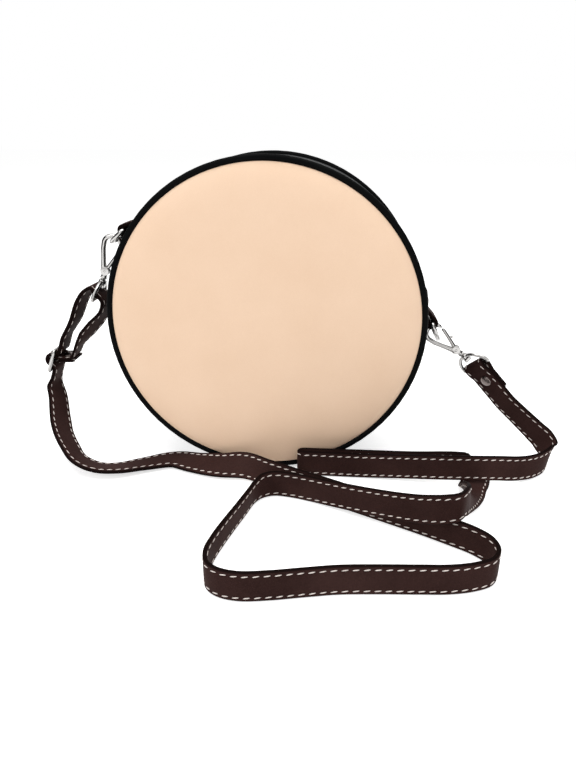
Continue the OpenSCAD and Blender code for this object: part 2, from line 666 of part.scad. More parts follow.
// The clasp's body: a spine that ends in the hook, a fork for the gate and the swivel post with its nut
module clasp() {
    mid_r = hook_r - hook_wire / 2;
    difference() {
        union() {
            linear_extrude(clasp_t, center = true) union() {
                intersection() {
                    translate([hook_x, 0]) difference() {
                        circle(hook_r, $fn = round_fn);
                        circle(hook_r - hook_wire, $fn = round_fn);
                    }
                    translate([hook_x, 0]) polygon(concat([[0, 0]],
                        arc_points([0, 0], 2 * hook_r, -100, nose_angle, 12)));
                }
                polygon([[hook_x, -hook_r], [hook_x, hook_wire - hook_r], [boss_r * 0.6, -boss_r * 0.55],
                    [-boss_r * 0.6, -boss_r * 0.9], [boss_r * 0.2, -boss_r * 1.02]]);
                circle(boss_r, $fn = wire_fn);
                translate([-neck_l, -boss_r * 0.7]) square([neck_l, boss_r * 1.4]);
            }
            rotate([0, -90, 0]) cylinder(d = post_d, h = eye_x + ring_wire / 2 + nut_gap + nut_w / 2, $fn = wire_fn);
            translate([-neck_l + seat_gap, 0, 0]) rotate([0, -90, 0])
                cylinder(d1 = 2 * boss_r * 0.7, d2 = post_d, h = eye_x - ring_wire / 2 - pin_gap - neck_l, $fn = wire_fn);
            translate([-eye_x - ring_wire / 2 - nut_gap - nut_w / 4, 0, 0]) cube([nut_w / 2, nut_w, nut_w], center = true);
        }
        gate_pocket();
    }
    cylinder(d = gate_pin_d, h = gate_pin_l, center = true, $fn = wire_fn);
}

// Room in the fork for the gate's knuckle, open towards the gate
module gate_pocket() {
    linear_extrude(gate_t + 2 * pin_gap, center = true) union() {
        circle(boss_r * 0.72 + pin_gap, $fn = wire_fn);
        polygon([[0, 0], [0, 2 * boss_r], [2 * hook_r, 2 * boss_r], [2 * hook_r, -boss_r * 0.62]]);
    }
}

// The gate: a knuckle on the pin and an arm that closes on the inside of the hook's nose
module gate() {
    nose_x = hook_x + (hook_r - hook_wire / 2) * cos(nose_angle);
    nose_y = (hook_r - hook_wire / 2) * sin(nose_angle);
    arm = gate_t * 0.42;
    difference() {
        linear_extrude(gate_t, center = true) difference() {
            union() {
                circle(boss_r * 0.72, $fn = wire_fn);
                polygon([[0, 0], [nose_x - 2.4 * soft_gap, nose_y - arm],
                    [nose_x - 2.4 * soft_gap, nose_y + arm], [0, boss_r * 0.72]]);
            }
            translate([hook_x, 0]) difference() {
                circle(hook_r + over, $fn = round_fn);
                circle(hook_r - hook_wire - soft_gap, $fn = round_fn);
                rotate(nose_angle) translate([-2 * hook_r, seat_gap]) square(4 * hook_r);
            }
        }
        cylinder(d = gate_pin_d + 2 * pin_gap, h = 2 * clasp_t, center = true, $fn = wire_fn);
    }
}

module clasp_left() {
    color("Silver") lay(pivot_left, axis_left, lateral_left, cross(axis_left, lateral_left)) clasp();
}

module gate_left() {
    color("Gainsboro") lay(pivot_left, axis_left, lateral_left, cross(axis_left, lateral_left)) gate();
}

module clasp_right() {
    color("Silver") lay(pivot_right, axis_right, lateral_to, cross(axis_right, lateral_to)) clasp();
}

module gate_right() {
    color("Gainsboro") lay(pivot_right, axis_right, lateral_to, cross(axis_right, lateral_to)) gate();
}

// The strap's end, folded round the right end ring and riveted to itself
function fold_line() = concat(
    [[fold_l, -fold_mid], [0.65 * fold_rivet, -fold_mid], [0.3 * fold_rivet, -0.93 * fold_wrap]],
    arc_points([0, 0], fold_wrap, -88, -272, 12),
    [[0.3 * fold_rivet, 0.93 * fold_wrap], [0.65 * fold_rivet, fold_mid], [tail_end, fold_mid]]);

module strap_end_right() {
    color([0.20, 0.13, 0.12]) lay(ring_bar_right, fold_dir, fold_out, ring_across) difference() {
        linear_extrude(strap_w, center = true) polygon(ribbon(fold_line(), strap_t));
        translate([fold_rivet, 0, 0]) rotate([90, 0, 0])
            cylinder(d = rivet_d + seat_gap, h = 4 * strap_t, center = true, $fn = wire_fn);
    }
}

module strap_rivet_right() {
    grip = 2 * fold_mid + strap_t + 2 * seat_gap;
    color([0.30, 0.26, 0.25]) lay(ring_bar_right, fold_dir, fold_out, ring_across)
        translate([fold_rivet, grip / 2, 0]) rotate([90, 0, 0]) rivet(grip);
}

module leather() {
    color([0.24, 0.16, 0.15]) children();
}

module strap_riser() {
    leather() floor_stretch(0);
}

module strap_side_turn() {
    leather() floor_stretch(1);
}

module strap_upper_run() {
    leather() floor_stretch(2);
}

module strap_hairpin() {
    leather() floor_stretch(3);
}

module strap_back_run() {
    leather() floor_stretch(4);
}

module strap_underpass() {
    leather() floor_stretch(5);
}

module strap_rise() {
    leather() floor_stretch(6);
}

module strap_middle_run() {
    leather() floor_stretch(7);
}

module strap_inner_corner() {
    leather() floor_stretch(8);
}

module strap_left_strand() {
    leather() floor_stretch(9);
}

module strap_left_corner() {
    leather() floor_stretch(10);
}

module strap_front_band() {
    leather() floor_stretch(11);
}

module strap_right_loop() {
    leather() floor_stretch(12);
}

module strap_lower_run() {
    leather() floor_stretch(13);
}

module strap_twist() {
    leather() floor_stretch(14);
}

module strap_floor_curve() {
    leather() floor_stretch(15);
}

module strap_drop() {
    leather() floor_stretch(16);
}

module strap_band_up() {
    leather() strap_stretch(band_route, 0, top_at);
}

module strap_band_down() {
    leather() strap_stretch(band_route, top_at, len(band_route) - 1, strap_t, tail_t);
}

// Where the strap weaves through the adjuster: behind its outer bars and over its middle bar
function weave_line() =
    let (a = cross_angle)
    concat([[-weave_half, -outer_wrap]], arc_points([-bar_gap, 0], outer_wrap, -90, a - 90, 4),
        arc_points([0, 0], middle_wrap, 90 + a, 90 - a, 8),
        arc_points([bar_gap, 0], outer_wrap, -90 - a, -90, 4), [[weave_half, -outer_wrap]]);

module in_slider() {
    lay(slider_mid, along_slider, out_slider, [0, -1, 0]) children();
}

module strap_weave() {
    leather() in_slider() linear_extrude(strap_w, center = true) polygon(ribbon(weave_line(), strap_t));
}

function tail_line() = concat(
    [tail_in(0), tail_in(-1), tail_point(1.44 * tail_rivet, tail_half), tail_point(0.55 * tail_rivet, tail_half),
        tail_point(0.3 * tail_rivet, 0.86 * tail_wrap)],
    [for (a = [0 : 15 : 180]) tail_wrap * (cos(a) * tail_v - sin(a) * tail_u)],
    [tail_point(0.3 * tail_rivet, -0.86 * tail_wrap), tail_point(0.55 * tail_rivet, -tail_half),
        tail_point(1.7 * tail_rivet, -tail_half)]);

module strap_tail() {
    leather() in_slider() difference() {
        linear_extrude(strap_w, center = true) polygon(ribbon(tail_line(), tail_t));
        lay(concat(tail_rivet * tail_u, [0]), concat(tail_u, [0]), [0, 0, 1], concat(tail_v, [0]))
            cylinder(d = rivet_d + seat_gap, h = 6 * tail_t, center = true, $fn = wire_fn);
    }
}

module strap_rivet_left() {
    grip = 2 * tail_half + tail_t + 2 * seat_gap;
    color([0.30, 0.26, 0.25]) in_slider()
        lay(concat(tail_rivet * tail_u - grip / 2 * tail_v, [0]), concat(tail_u, [0]), [0, 0, -1], concat(tail_v, [0]))
            rivet(grip);
}

// The adjuster: a flat frame of three bars between two long sides
module adjuster_slider() {
    color("Silver") in_slider() union() {
        for (s = [-1, 1])
            translate([s * bar_gap, 0, 0]) cylinder(d = bar_d, h = 2 * slider_half, center = true, $fn = wire_fn);
        cylinder(d = middle_bar_d, h = 2 * slider_half, center = true, $fn = wire_fn);
        for (side = [-1, 1]) {
            translate([0, 0, side * slider_half]) rotate([0, 90, 0])
                cylinder(d = bar_d, h = 2 * bar_gap, center = true, $fn = wire_fn);
            for (s = [-1, 1])
                translate([s * bar_gap, 0, side * slider_half]) sphere(d = bar_d, $fn = wire_fn);
        }
    }
}

back_panel();
back_foam();
back_lining();
back_piping();
front_panel();
front_foam();
front_lining();
front_piping();
mouth_panel();
mouth_foam();
mouth_lining();
mouth_piping();
gusset_base();
gusset_lining();
slip_pocket();
zip_strip_back();
zip_strip_front();
zip_chain_back();
zip_chain_front();
zip_ends();
zip_slider();
zip_pull();
tab_left();
tab_right();
tab_rivets();
d_ring_left();
d_ring_right();
end_ring_left();
end_ring_right();
clasp_left();
clasp_right();
gate_left();
gate_right();
strap_end_right();
strap_rivet_right();
strap_riser();
strap_side_turn();
strap_upper_run();
strap_hairpin();
strap_back_run();
strap_underpass();
strap_rise();
strap_middle_run();
strap_inner_corner();
strap_left_strand();
strap_left_corner();
strap_front_band();
strap_right_loop();
strap_lower_run();
strap_twist();
strap_floor_curve();
strap_drop();
strap_weave();
strap_band_up();
strap_band_down();
strap_tail();
strap_rivet_left();
adjuster_slider();
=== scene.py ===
# %% [markdown]
# # A round crossbody bag
# The bag is 190 mm across and 65 mm deep. It stands on its rim, rolled a little to its right, and
# its strap lies in front of it. Sizes and places are those of the packed model, and this file
# gives every look. Lengths of the bag are millimetres until they reach a mesh, where MM turns
# them into metres. The studio, which is camera, floor and lamps, is written in metres.

# %% Load the frame and keep its box
import bmesh
import bpy
import numpy as np
from math import asin, ceil, cos, degrees, pi, radians, sin, sqrt
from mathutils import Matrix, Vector


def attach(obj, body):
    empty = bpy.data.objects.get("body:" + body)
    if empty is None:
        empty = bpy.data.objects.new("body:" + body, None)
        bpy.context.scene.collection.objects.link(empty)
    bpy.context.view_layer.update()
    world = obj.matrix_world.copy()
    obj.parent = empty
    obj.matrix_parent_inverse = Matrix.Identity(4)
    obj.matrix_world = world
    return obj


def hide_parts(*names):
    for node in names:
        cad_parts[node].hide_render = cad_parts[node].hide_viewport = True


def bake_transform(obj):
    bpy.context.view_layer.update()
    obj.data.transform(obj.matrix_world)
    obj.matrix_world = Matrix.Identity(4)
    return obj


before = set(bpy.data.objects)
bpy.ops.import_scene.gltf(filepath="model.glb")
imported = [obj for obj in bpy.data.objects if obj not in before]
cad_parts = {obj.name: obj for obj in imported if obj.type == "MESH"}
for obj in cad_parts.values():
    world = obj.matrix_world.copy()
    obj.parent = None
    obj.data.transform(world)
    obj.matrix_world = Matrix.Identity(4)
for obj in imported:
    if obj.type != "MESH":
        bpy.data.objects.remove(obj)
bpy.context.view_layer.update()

MM = 0.001

# %% [markdown]
# ## Camera
# The photograph looks down on the bag from a little above and from its right. The camera comes
# first, so that every later look at the scene is already the photograph's own view.

# %% Camera
LENS, SENSOR = 28.5, 36
EYE_AT = (0.0403, -0.3715, 0.2005)
LOOKS_DOWN, LOOKS_LEFT = 22.6, 4.43

eye = bpy.data.cameras.new("eye")
eye.lens = LENS
eye.sensor_width = SENSOR
eye.clip_start = 0.01
camera = bpy.data.objects.new("camera", eye)
camera.location = EYE_AT
camera.rotation_euler = (radians(90 - LOOKS_DOWN), 0, radians(LOOKS_LEFT))
bpy.context.scene.collection.objects.link(camera)
bpy.context.scene.camera = camera
print("camera", EYE_AT, "looks down", LOOKS_DOWN, "degrees")

# %% [markdown]
# ## Node trees as arithmetic
# A leather or a metal is a formula: a colour that wanders a little, a gloss that follows the grain.
# Node by node that is long, so a small class lets the outputs of nodes be added and multiplied as
# numbers are. One method makes any node and gives its output back as such a value. It serves the
# materials, the world and the tree that sets down stitches.

# %% Values and recipes
class Value:
    """One output of a node. Arithmetic on it adds Math nodes."""

    def __init__(self, recipe, socket):
        self.recipe = recipe
        self.socket = socket

    def math(self, operation, *others):
        return self.recipe.node("Math", dict(enumerate((self, *others))), operation=operation)

    def __add__(self, other):
        return self.math("ADD", other)

    __radd__ = __add__

    def __sub__(self, other):
        return self.math("SUBTRACT", other)

    def __rsub__(self, other):
        return self.recipe.node("Math", {0: other, 1: self}, operation="SUBTRACT")

    def __mul__(self, other):
        return self.math("MULTIPLY", other)

    __rmul__ = __mul__

    def span(self, low, high, to_low=0.0, to_high=1.0):
        """Stretches the values between low and high to the span between to_low and to_high."""
        ends = {"Value": self, "From Min": low, "From Max": high, "To Min": to_low, "To Max": to_high}
        return self.recipe.node("MapRange", ends, output="Result")


class Recipe:
    """A node tree, filled by naming its nodes and feeding their values on."""

    def __init__(self, tree, family=""):
        self.tree = tree
        self.family = family

    def node(self, kind, inputs=None, output=0, **settings):
        made = self.tree.nodes.new(self.family + kind)
        for setting, choice in settings.items():
            setattr(made, setting, choice)
        for socket, value in (inputs or {}).items():
            if isinstance(value, Value):
                self.tree.links.new(value.socket, made.inputs[socket])
            else:
                made.inputs[socket].default_value = value
        return Value(self, made.outputs[output]) if made.outputs else None


class Finish(Recipe):
    """The node tree of a material or a world. Its nodes are named without their ShaderNode."""

    def __init__(self, owner):
        owner.use_nodes = True
        owner.node_tree.nodes.clear()
        super().__init__(owner.node_tree, "ShaderNode")
        self.owner = owner

    def place(self):
        return self.node("TexCoord", output="Object")

    def noise(self, scale, detail=4.0):
        return self.node("TexNoise", {"Vector": self.place(), "Scale": scale, "Detail": detail,
                                      "Roughness": 0.55})

    def mark(self, name):
        return self.node("Attribute", output="Fac", attribute_name=name)

    def mix(self, factor, first, second):
        """Blends two colours. The Mix node has them at sockets 6 and 7, and their blend at 2."""
        return self.node("Mix", {0: factor, 6: first, 7: second}, output=2, data_type="RGBA")

    def bump(self, height, strength, depth):
        return self.node("Bump", {"Height": height, "Strength": strength, "Distance": depth},
                         output="Normal")

    def cover(self, shader):
        self.node("OutputMaterial", {"Surface": shader})
        return self.owner

    def coat(self, inputs):
        return self.cover(self.node("BsdfPrincipled", inputs))


def new_finish(name):
    return Finish(bpy.data.materials.new(name))


print("values take", [name for name in vars(Value) if name.startswith("__r") or name in ("math", "span")])

# %% [markdown]
# ## Floor and light
# A studio picture of goods has a white ground and big soft lamps. The floor is a plain white
# sheet. Seen by the camera, or mirrored in the metal, it also glows a little, so it reaches white
# while it still keeps the bag's shadow. The object itself gets no light from that glow. Metal in a
# wholly white room looks flat, so a dark panel stands at each side, as a photographer's black
# flags do. Only mirror rays meet the flags: they draw dark lines in the metal and shade nothing.

# %% Floor, flags, lamps and world
WHITE = (1, 1, 1, 1)
SHEET_TONE, SHEET_GLOW = (0.88, 0.88, 0.88, 1), 0.62
SHEET_REACH, SHEET_DROP = 7.0, 0.0003
FLAG_TONE, FLAG_X = (0.012, 0.009, 0.009, 1), 0.75
FLAG_NEAR, FLAG_FAR, FLAG_LOW, FLAG_HIGH = -0.9, 0.5, 0.02, 0.62
WORLD_LIGHT = 0.42


def new_object(name, data):
    obj = bpy.data.objects.new(name, data)
    bpy.context.scene.collection.objects.link(obj)
    return obj


def four_corners(name, corners, material):
    mesh = bpy.data.meshes.new(name)
    mesh.from_pydata(corners, [], [(0, 1, 2, 3)])
    mesh.materials.append(material)
    return new_object(name, mesh)


def white_sheet():
    finish = new_finish("white_sheet")
    sheet = finish.node("BsdfDiffuse", {"Color": SHEET_TONE})
    mirrored = finish.node("LightPath", output="Is Glossy Ray")
    seen = finish.node("LightPath", output="Is Camera Ray").math("MAXIMUM", mirrored)
    glow = finish.node("Emission", {"Color": WHITE, "Strength": seen * SHEET_GLOW})
    return finish.cover(finish.node("AddShader", {0: sheet, 1: glow}))


def dark_flag(name, x):
    finish = new_finish(name)
    black = finish.cover(finish.node("BsdfDiffuse", {"Color": FLAG_TONE}))
    flag = four_corners(name, [(x, FLAG_NEAR, FLAG_LOW), (x, FLAG_FAR, FLAG_LOW),
                               (x, FLAG_FAR, FLAG_HIGH), (x, FLAG_NEAR, FLAG_HIGH)], black)
    flag.visible_camera = False
    flag.visible_diffuse = False
    flag.visible_shadow = False
    flag.visible_transmission = False


def soft_lamp(name, place, aim, size, watts):
    lamp = bpy.data.lights.new(name, "AREA")
    lamp.shape = "RECTANGLE"
    lamp.size, lamp.size_y = size
    lamp.energy = watts
    lit = new_object(name, lamp)
    lit.location = place
    lit.rotation_euler = (Vector(aim) - Vector(place)).to_track_quat("-Z", "Y").to_euler()


floor_corners = [(SHEET_REACH * x, SHEET_REACH * y, -SHEET_DROP)
                 for x, y in ((-1, -1), (1, -1), (1, 1), (-1, 1))]
floor = four_corners("floor", floor_corners, white_sheet())
dark_flag("left_flag", -FLAG_X)
dark_flag("right_flag", FLAG_X)
soft_lamp("top_lamp", place=(0.0, -0.15, 1.25), aim=(0.0, 0.0, 0.05), size=(1.3, 1.0), watts=13.0)
soft_lamp("left_lamp", place=(-1.0, -0.9, 0.75), aim=(0.0, 0.0, 0.08), size=(0.9, 0.9), watts=6.5)
soft_lamp("right_lamp", place=(1.1, -0.7, 0.5), aim=(0.0, 0.0, 0.08), size=(0.6, 0.9), watts=3.4)

world = bpy.data.worlds.new("studio")
sky = Finish(world)
mirrored_sky = sky.node("LightPath", output="Is Glossy Ray").span(0, 1, WORLD_LIGHT, 1.0)
strength = sky.node("LightPath", output="Is Camera Ray").math("MAXIMUM", mirrored_sky)
sky.node("OutputWorld", {"Surface": sky.node("Background", {"Color": WHITE, "Strength": strength})})
bpy.context.scene.world = world
bpy.context.scene.view_settings.view_transform = "Standard"
print("lamps", [lamp.name for lamp in bpy.data.lights])

# %% [markdown]
# ## Leather
# Finished leather has fine pebbles parted by creases, a colour that drifts over a hand's width and
# a satin finish that is duller in the creases. Voronoi cells give pebbles with creases round them;
# a wide noise gives the drift. The strap's cut edges are darker, marked by an attribute on its mesh.

# %% Leather
def srgb(red, green, blue):
    """A colour as a photograph shows it, 0 to 255, turned into the linear light that shaders use."""
    shares = (red / 255, green / 255, blue / 255)
    return (*(c / 12.92 if c <= 0.04045 else ((c + 0.055) / 1.055) ** 2.4 for c in shares), 1)


def leather(name, colour, deep, rough, pebble, depth, shine=0.5, drift=0.5, relief=0.35, edge=None):
    """colour and deep are mixed; pebble is a scale, depth the bump's metres, relief the pebbles' share."""
    finish = new_finish(name)
    sway = finish.node("TexNoise", {"Vector": finish.place(), "Scale": 420.0}, output="Color")
    sway = finish.node("VectorMath", {0: sway, "Scale": 0.0012}, operation="SCALE")
    swayed = finish.node("VectorMath", {0: finish.place(), 1: sway}, operation="ADD")
    cells = finish.node("TexVoronoi", {"Vector": swayed, "Scale": pebble}, output="Distance",
                        feature="DISTANCE_TO_EDGE")
    pebbles = cells.span(0.0, 0.28)
    creases = 1 - pebbles
    wide = finish.noise(26.0, 5.0)
    fine = finish.noise(900.0, 3.0)
    tone = wide.span(0.3, 0.7) * drift + fine.span(0.25, 0.75) * 0.18 + creases * 0.3
    colours = finish.mix(tone, colour, deep)
    if edge:
        colours = finish.mix(finish.mark("edge"), colours, edge)
    height = pebbles * relief + fine * 0.5 + finish.noise(70.0, 2.0) * 1.5
    gloss = wide.span(0.2, 0.8, rough - 0.05, rough + 0.06) + creases * 0.1
    return finish.coat({"Base Color": colours, "Roughness": gloss, "Specular IOR Level": shine,
                        "Normal": finish.bump(height, 0.55, depth)})


peach = leather("peach_leather", srgb(240, 209, 181), srgb(232, 199, 169), rough=0.5, pebble=1700,
                depth=0.00004, relief=0.25)
piping_skin = leather("piping_leather", srgb(13, 14, 14), srgb(7, 7, 8), rough=0.44, pebble=1500,
                      depth=0.00007, shine=0.02)
gusset_skin = leather("gusset_leather", srgb(17, 18, 20), srgb(9, 10, 12), rough=0.42, pebble=1300,
                      depth=0.00009, shine=0.08)
strap_skin = leather("strap_leather", srgb(66, 46, 43), srgb(42, 27, 25), rough=0.46, pebble=1200,
                     depth=0.00008, shine=0.01, drift=0.6, edge=srgb(20, 12, 11))
print("leathers", [m.name for m in (peach, piping_skin, gusset_skin, strap_skin)])

# %% [markdown]
# ## Cloth, thread, metal and plastic
# Woven cloth is two waves across each other, one for each way the yarns run. Thread is fibre, so a
# fine noise roughens it. Plated metal shows wide smears in its gloss and a few scuffs, and moulded
# plastic a fine grain.

# %% The other finishes
def scaled(colour, share):
    """The same colour, darker or lighter."""
    return (*(c * share for c in colour[:3]), 1)


def cloth(name, colour, deep, pitch=0.00045):
    finish = new_finish(name)
    x, y, z = (finish.node("SeparateXYZ", {0: finish.place()}, output=axis) for axis in "XYZ")
    turns = 2 * pi / pitch
    weave = ((x + y) * turns).math("SINE") * ((z - y) * turns).math("SINE")
    tone = weave.span(-1, 1, 0.0, 0.6) + finish.noise(60.0).span(0.3, 0.7, 0.0, 0.4)
    return finish.coat({"Base Color": finish.mix(tone, colour, deep), "Roughness": 0.85,
                        "Normal": finish.bump(weave, 0.6, 0.00008),
                        "Sheen Weight": 0.25, "Sheen Roughness": 0.5})


def twisted_thread(name, colour, deep):
    finish = new_finish(name)
    fibre = finish.noise(2600.0, 2.0)
    return finish.coat({"Base Color": finish.mix(fibre.span(0.35, 0.7), colour, deep), "Roughness": 0.62,
                        "Normal": finish.bump(fibre, 0.7, 0.00008), "Sheen Weight": 0.15})


def plated(name, colour, rough):
    finish = new_finish(name)
    smear = finish.noise(160.0, 5.0)
    scuff = finish.noise(2200.0, 2.0)
    colours = finish.mix(smear.span(0.35, 0.75), colour, scaled(colour, 0.86))
    return finish.coat({"Base Color": colours, "Metallic": 1.0,
                        "Roughness": smear.span(0.3, 0.7, rough - 0.04, rough + 0.07),
                        "Normal": finish.bump(smear + scuff * 0.3, 0.25, 0.00005)})


def moulded(name, colour, rough):
    finish = new_finish(name)
    grain = finish.noise(1400.0, 3.0)
    return finish.coat({"Base Color": finish.mix(grain.span(0.3, 0.7), colour, scaled(colour, 1.5)),
                        "Roughness": grain.span(0.3, 0.7, rough - 0.05, rough + 0.08),
                        "Normal": finish.bump(grain, 0.3, 0.00004)})


thread = twisted_thread("pale_thread", srgb(238, 229, 222), srgb(205, 192, 184))
dark_thread = twisted_thread("dark_thread", srgb(34, 34, 36), srgb(16, 16, 18))
lining_cloth = cloth("lining_cloth", srgb(46, 44, 46), srgb(26, 25, 27))
tape_cloth = cloth("zip_tape", srgb(30, 30, 32), srgb(18, 18, 20), pitch=0.0007)
# The nickel's colour is darker than bare nickel's: a painted dark reflection.
nickel = plated("nickel", (0.47, 0.46, 0.45, 1), rough=0.16)
cap_metal = plated("rivet_cap", (0.20, 0.165, 0.155, 1), rough=0.27)
tooth_plastic = moulded("tooth_plastic", srgb(30, 30, 33), rough=0.34)
print("materials", len(bpy.data.materials))

# %% [markdown]
# ## From outlines to surfaces
# Nearly every piece here is an outline carried along a path: leather round the rim, wire round a
# ring, the strap across the floor. So one builder joins rows of points into a skin with even
# quads, and the helpers below only make rows. Edges sharper than CRISP degrees stay crisp.

# %% The skin builder
CRISP = 38
made_pieces = []


def keep_piece(obj, body, material, replaced=(), bend=None):
    """Gives a finished mesh its material and its body, and hides the CAD nodes that it stands for. With a
    bend it joins no body: its place is baked into its points.
    """
    obj.data.materials.clear()
    obj.data.materials.append(material)
    if bend:
        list(bend)
        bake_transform(obj)
    else:
        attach(obj, body)
    if replaced:
        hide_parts(*replaced)
    made_pieces.append(obj)
    return obj


def shaded(name, mesh, crisp):
    mesh.shade_smooth()
    mesh.set_sharp_from_angle(angle=radians(crisp))
    return new_object(name, mesh)


def skin(name, rows, closed=False, marks=None, crisp=CRISP):
    """Joins rings of points in millimetres. closed joins the last ring to the first, or else both
    ends get a fan of triangles. marks say how worn an edge is at each point."""
    rows = np.asarray(rows, float) * MM
    count, sides = rows.shape[:2]
    faces = []
    for i in range(count if closed else count - 1):
        here, ahead = i * sides, (i + 1) % count * sides
        for j in range(sides):
            k = (j + 1) % sides
            faces.append((here + j, here + k, ahead + k, ahead + j))
    points = [tuple(p) for p in rows.reshape(-1, 3)]
    worn = [] if marks is None else list(np.ravel(marks))
    if not closed:
        for row in (0, count - 1):
            tip = len(points)
            points.append(tuple(rows[row].mean(axis=0)))
            worn.append(1.0)
            faces += [(row * sides + j, row * sides + (j + 1) % sides, tip) for j in range(sides)]
    mesh = bpy.data.meshes.new(name)
    mesh.from_pydata(points, [], faces)
    if marks is not None:
        mesh.attributes.new("edge", "FLOAT", "POINT").data.foreach_set("value", worn)
    outward = bmesh.new()
    outward.from_mesh(mesh)
    bmesh.ops.recalc_face_normals(outward, faces=outward.faces)
    outward.to_mesh(mesh)
    outward.free()
    return shaded(name, mesh, crisp)


def joined(name, parts):
    """Makes one object of several, so that a piece cast in one is one piece."""
    whole = bmesh.new()
    for part in parts:
        old = part.data
        whole.from_mesh(old)
        bpy.data.objects.remove(part)
        bpy.data.meshes.remove(old)
    mesh = bpy.data.meshes.new(name)
    whole.to_mesh(mesh)
    whole.free()
    return shaded(name, mesh, CRISP)


def unit(v):
    v = np.asarray(v, float)
    return v / np.linalg.norm(v)


def eased(outline, radius, steps=3):
    """Rounds the corners of a closed outline in a plane."""
    outline = [np.asarray(p, float) for p in outline]
    rounded = []
    for i, p in enumerate(outline):
        back, on = outline[i - 1] - p, outline[(i + 1) % len(outline)] - p
        r = min(radius, 0.45 * np.linalg.norm(back), 0.45 * np.linalg.norm(on))
        a, b = p + r * unit(back), p + r * unit(on)
        rounded += [(1 - t) ** 2 * a + 2 * t * (1 - t) * p + t * t * b for t in np.linspace(0, 1, steps + 1)]
    return rounded


print("edges over", CRISP, "degrees stay crisp")

# %% [markdown]
# ## Where things are
# The bag's own drawing is flat: x to its right, y up and z to its front, with its centre at the
# middle. on_bag() stands that drawing up and rolls it by 16 degrees, as the bag has rolled.

# %% The bag's frame and sizes
ROLL_DEGREES = 16
ROLL = radians(ROLL_DEGREES)
RING_Z = 94.5
BAG_D, HALF_DEPTH = 190.0, 32.5
WALL_R, WALL_T, WALL_Z = 93.0, 1.6, 26.65
PIPING_R, PIPING_Z = 93.2, 28.5
PANEL_R, SEAM_R, INSIDE_R = 91.35, 86.0, 90.5
MOUTH_ANGLE, ZIP_ANGLE = 46, 60
BEND_LOW, BEND_HIGH, BEND_Z = 61.0, 68.5, 30


def on_bag(x, y, z):
    return np.array([x * cos(ROLL) + y * sin(ROLL), -z, -x * sin(ROLL) + y * cos(ROLL) + RING_Z])


def around(radius, angle, z):
    """A place on the bag, angle degrees clockwise from its top as seen from the front."""
    return on_bag(radius * sin(radians(angle)), radius * cos(radians(angle)), z)


def turned(name, section, start=0, end=360, step=2.0, floor_at=None, crisp=CRISP):
    """Carries a section of radius and depth round the bag's centre, flattened below floor_at."""
    whole = end - start >= 360
    count = int(ceil((end - start) / step))
    angles = [start + (end - start) * i / count for i in range(count if whole else count + 1)]
    rows = np.array([[around(r, a, z) for r, z in section] for a in angles])
    if floor_at is not None:
        rows[:, :, 2] = np.maximum(rows[:, :, 2], floor_at)
    return skin(name, rows, closed=whole, crisp=crisp)


bend_up = ("bag", "mouth", tuple(on_bag(0, BEND_LOW, BEND_Z) * MM), tuple(on_bag(0, BEND_HIGH, BEND_Z) * MM))
print("the mouth folds at y", WALL_R * cos(radians(MOUTH_ANGLE)), "and bends between", bend_up[2:])

# %% [markdown]
# ## The two faces
# A face is smooth leather over thin foam, sewn down all round into the seam beside the piping. It
# is flat in the middle and rolls off over the last third of its radius. A quarter of a
# superellipse gives that pad form, and rings of points put the most quads where the surface
# turns. The front is one sheet across the fold of the mouth, so the leather there has no cut.

# %% Faces
CROWN, FLAT_R = 3.2, 58.0


def face_height(r):
    t = np.clip((r - FLAT_R) / (PANEL_R - FLAT_R), 0, 1)
    return HALF_DEPTH - CROWN * (1 - (1 - t ** 3.4) ** 0.72)


def face(name, side):
    radii = [0.02, 4, 10, 18, 27, 36, 45, 52, 57] + list(np.linspace(60, 88, 22))
    radii += [89, 89.8, 90.5, 91.0, PANEL_R]
    section = [(r, side * face_height(r)) for r in radii]
    section += [(PANEL_R, side * 28.2), (SEAM_R, side * 27.6), (78.5, side * 28.3), (0.02, side * 28.3)]
    return turned(name, section, crisp=50)


front_face = keep_piece(face("front_face", 1), "bag", peach,
                        ("front_panel", "mouth_panel", "front_foam", "mouth_foam"), bend_up)
back_face = keep_piece(face("back_face", -1), "bag", peach, ("back_panel", "back_foam"))
print("quads on a face", len(front_face.data.polygons))

# %% [markdown]
# ## Piping
# Piping is a cord in a narrow leather skin, sewn between face and gusset. It is a torus with two
# flaws: it is pressed flat where the bag stands on it, and the skin gathers into faint folds
# where it goes round. Both are small moves of the torus's points.

# %% Piping rings
CORD_R, FOLD_FACING = 1.8, 0.9
RING_STEPS, RING_STEP, CORD_SIDES = 300, 1.2, 18


def piping(name, side):
    rows = []
    for i in range(RING_STEPS):
        angle = i * RING_STEP
        fold = 0.035 * sin(radians(angle * 67)) + 0.03 * sin(radians(angle * 101 + 40))
        ring = []
        for k in range(CORD_SIDES):
            b = radians(360 // CORD_SIDES * k)
            r = CORD_R + fold * max(0, cos(b - FOLD_FACING * side))
            ring.append(around(PIPING_R + r * cos(b), angle, side * PIPING_Z + r * sin(b)))
        rows.append(ring)
    rows = np.array(rows)
    rows[:, :, 2] = np.maximum(rows[:, :, 2], 0.0)
    return skin(name, rows, closed=True, crisp=60)


front_rim = keep_piece(piping("front_rim", 1), "bag", piping_skin, ("front_piping", "mouth_piping"),
                       bend_up)
keep_piece(piping("back_rim", -1), "bag", piping_skin, ("back_piping",))
print("quads on a piping ring", len(front_rim.data.polygons))

# %% [markdown]
# ## Gusset
# The gusset is a strip of leather round the rim: one wide piece below, and above it two narrow
# ones with the zip between. Each strip is a thin outline with eased corners, carried round, and
# the edges beside the zip are pulled in a little by their hem.

# %% Gusset strips
ZIP_GAP, LAP = 5.0, 1.5


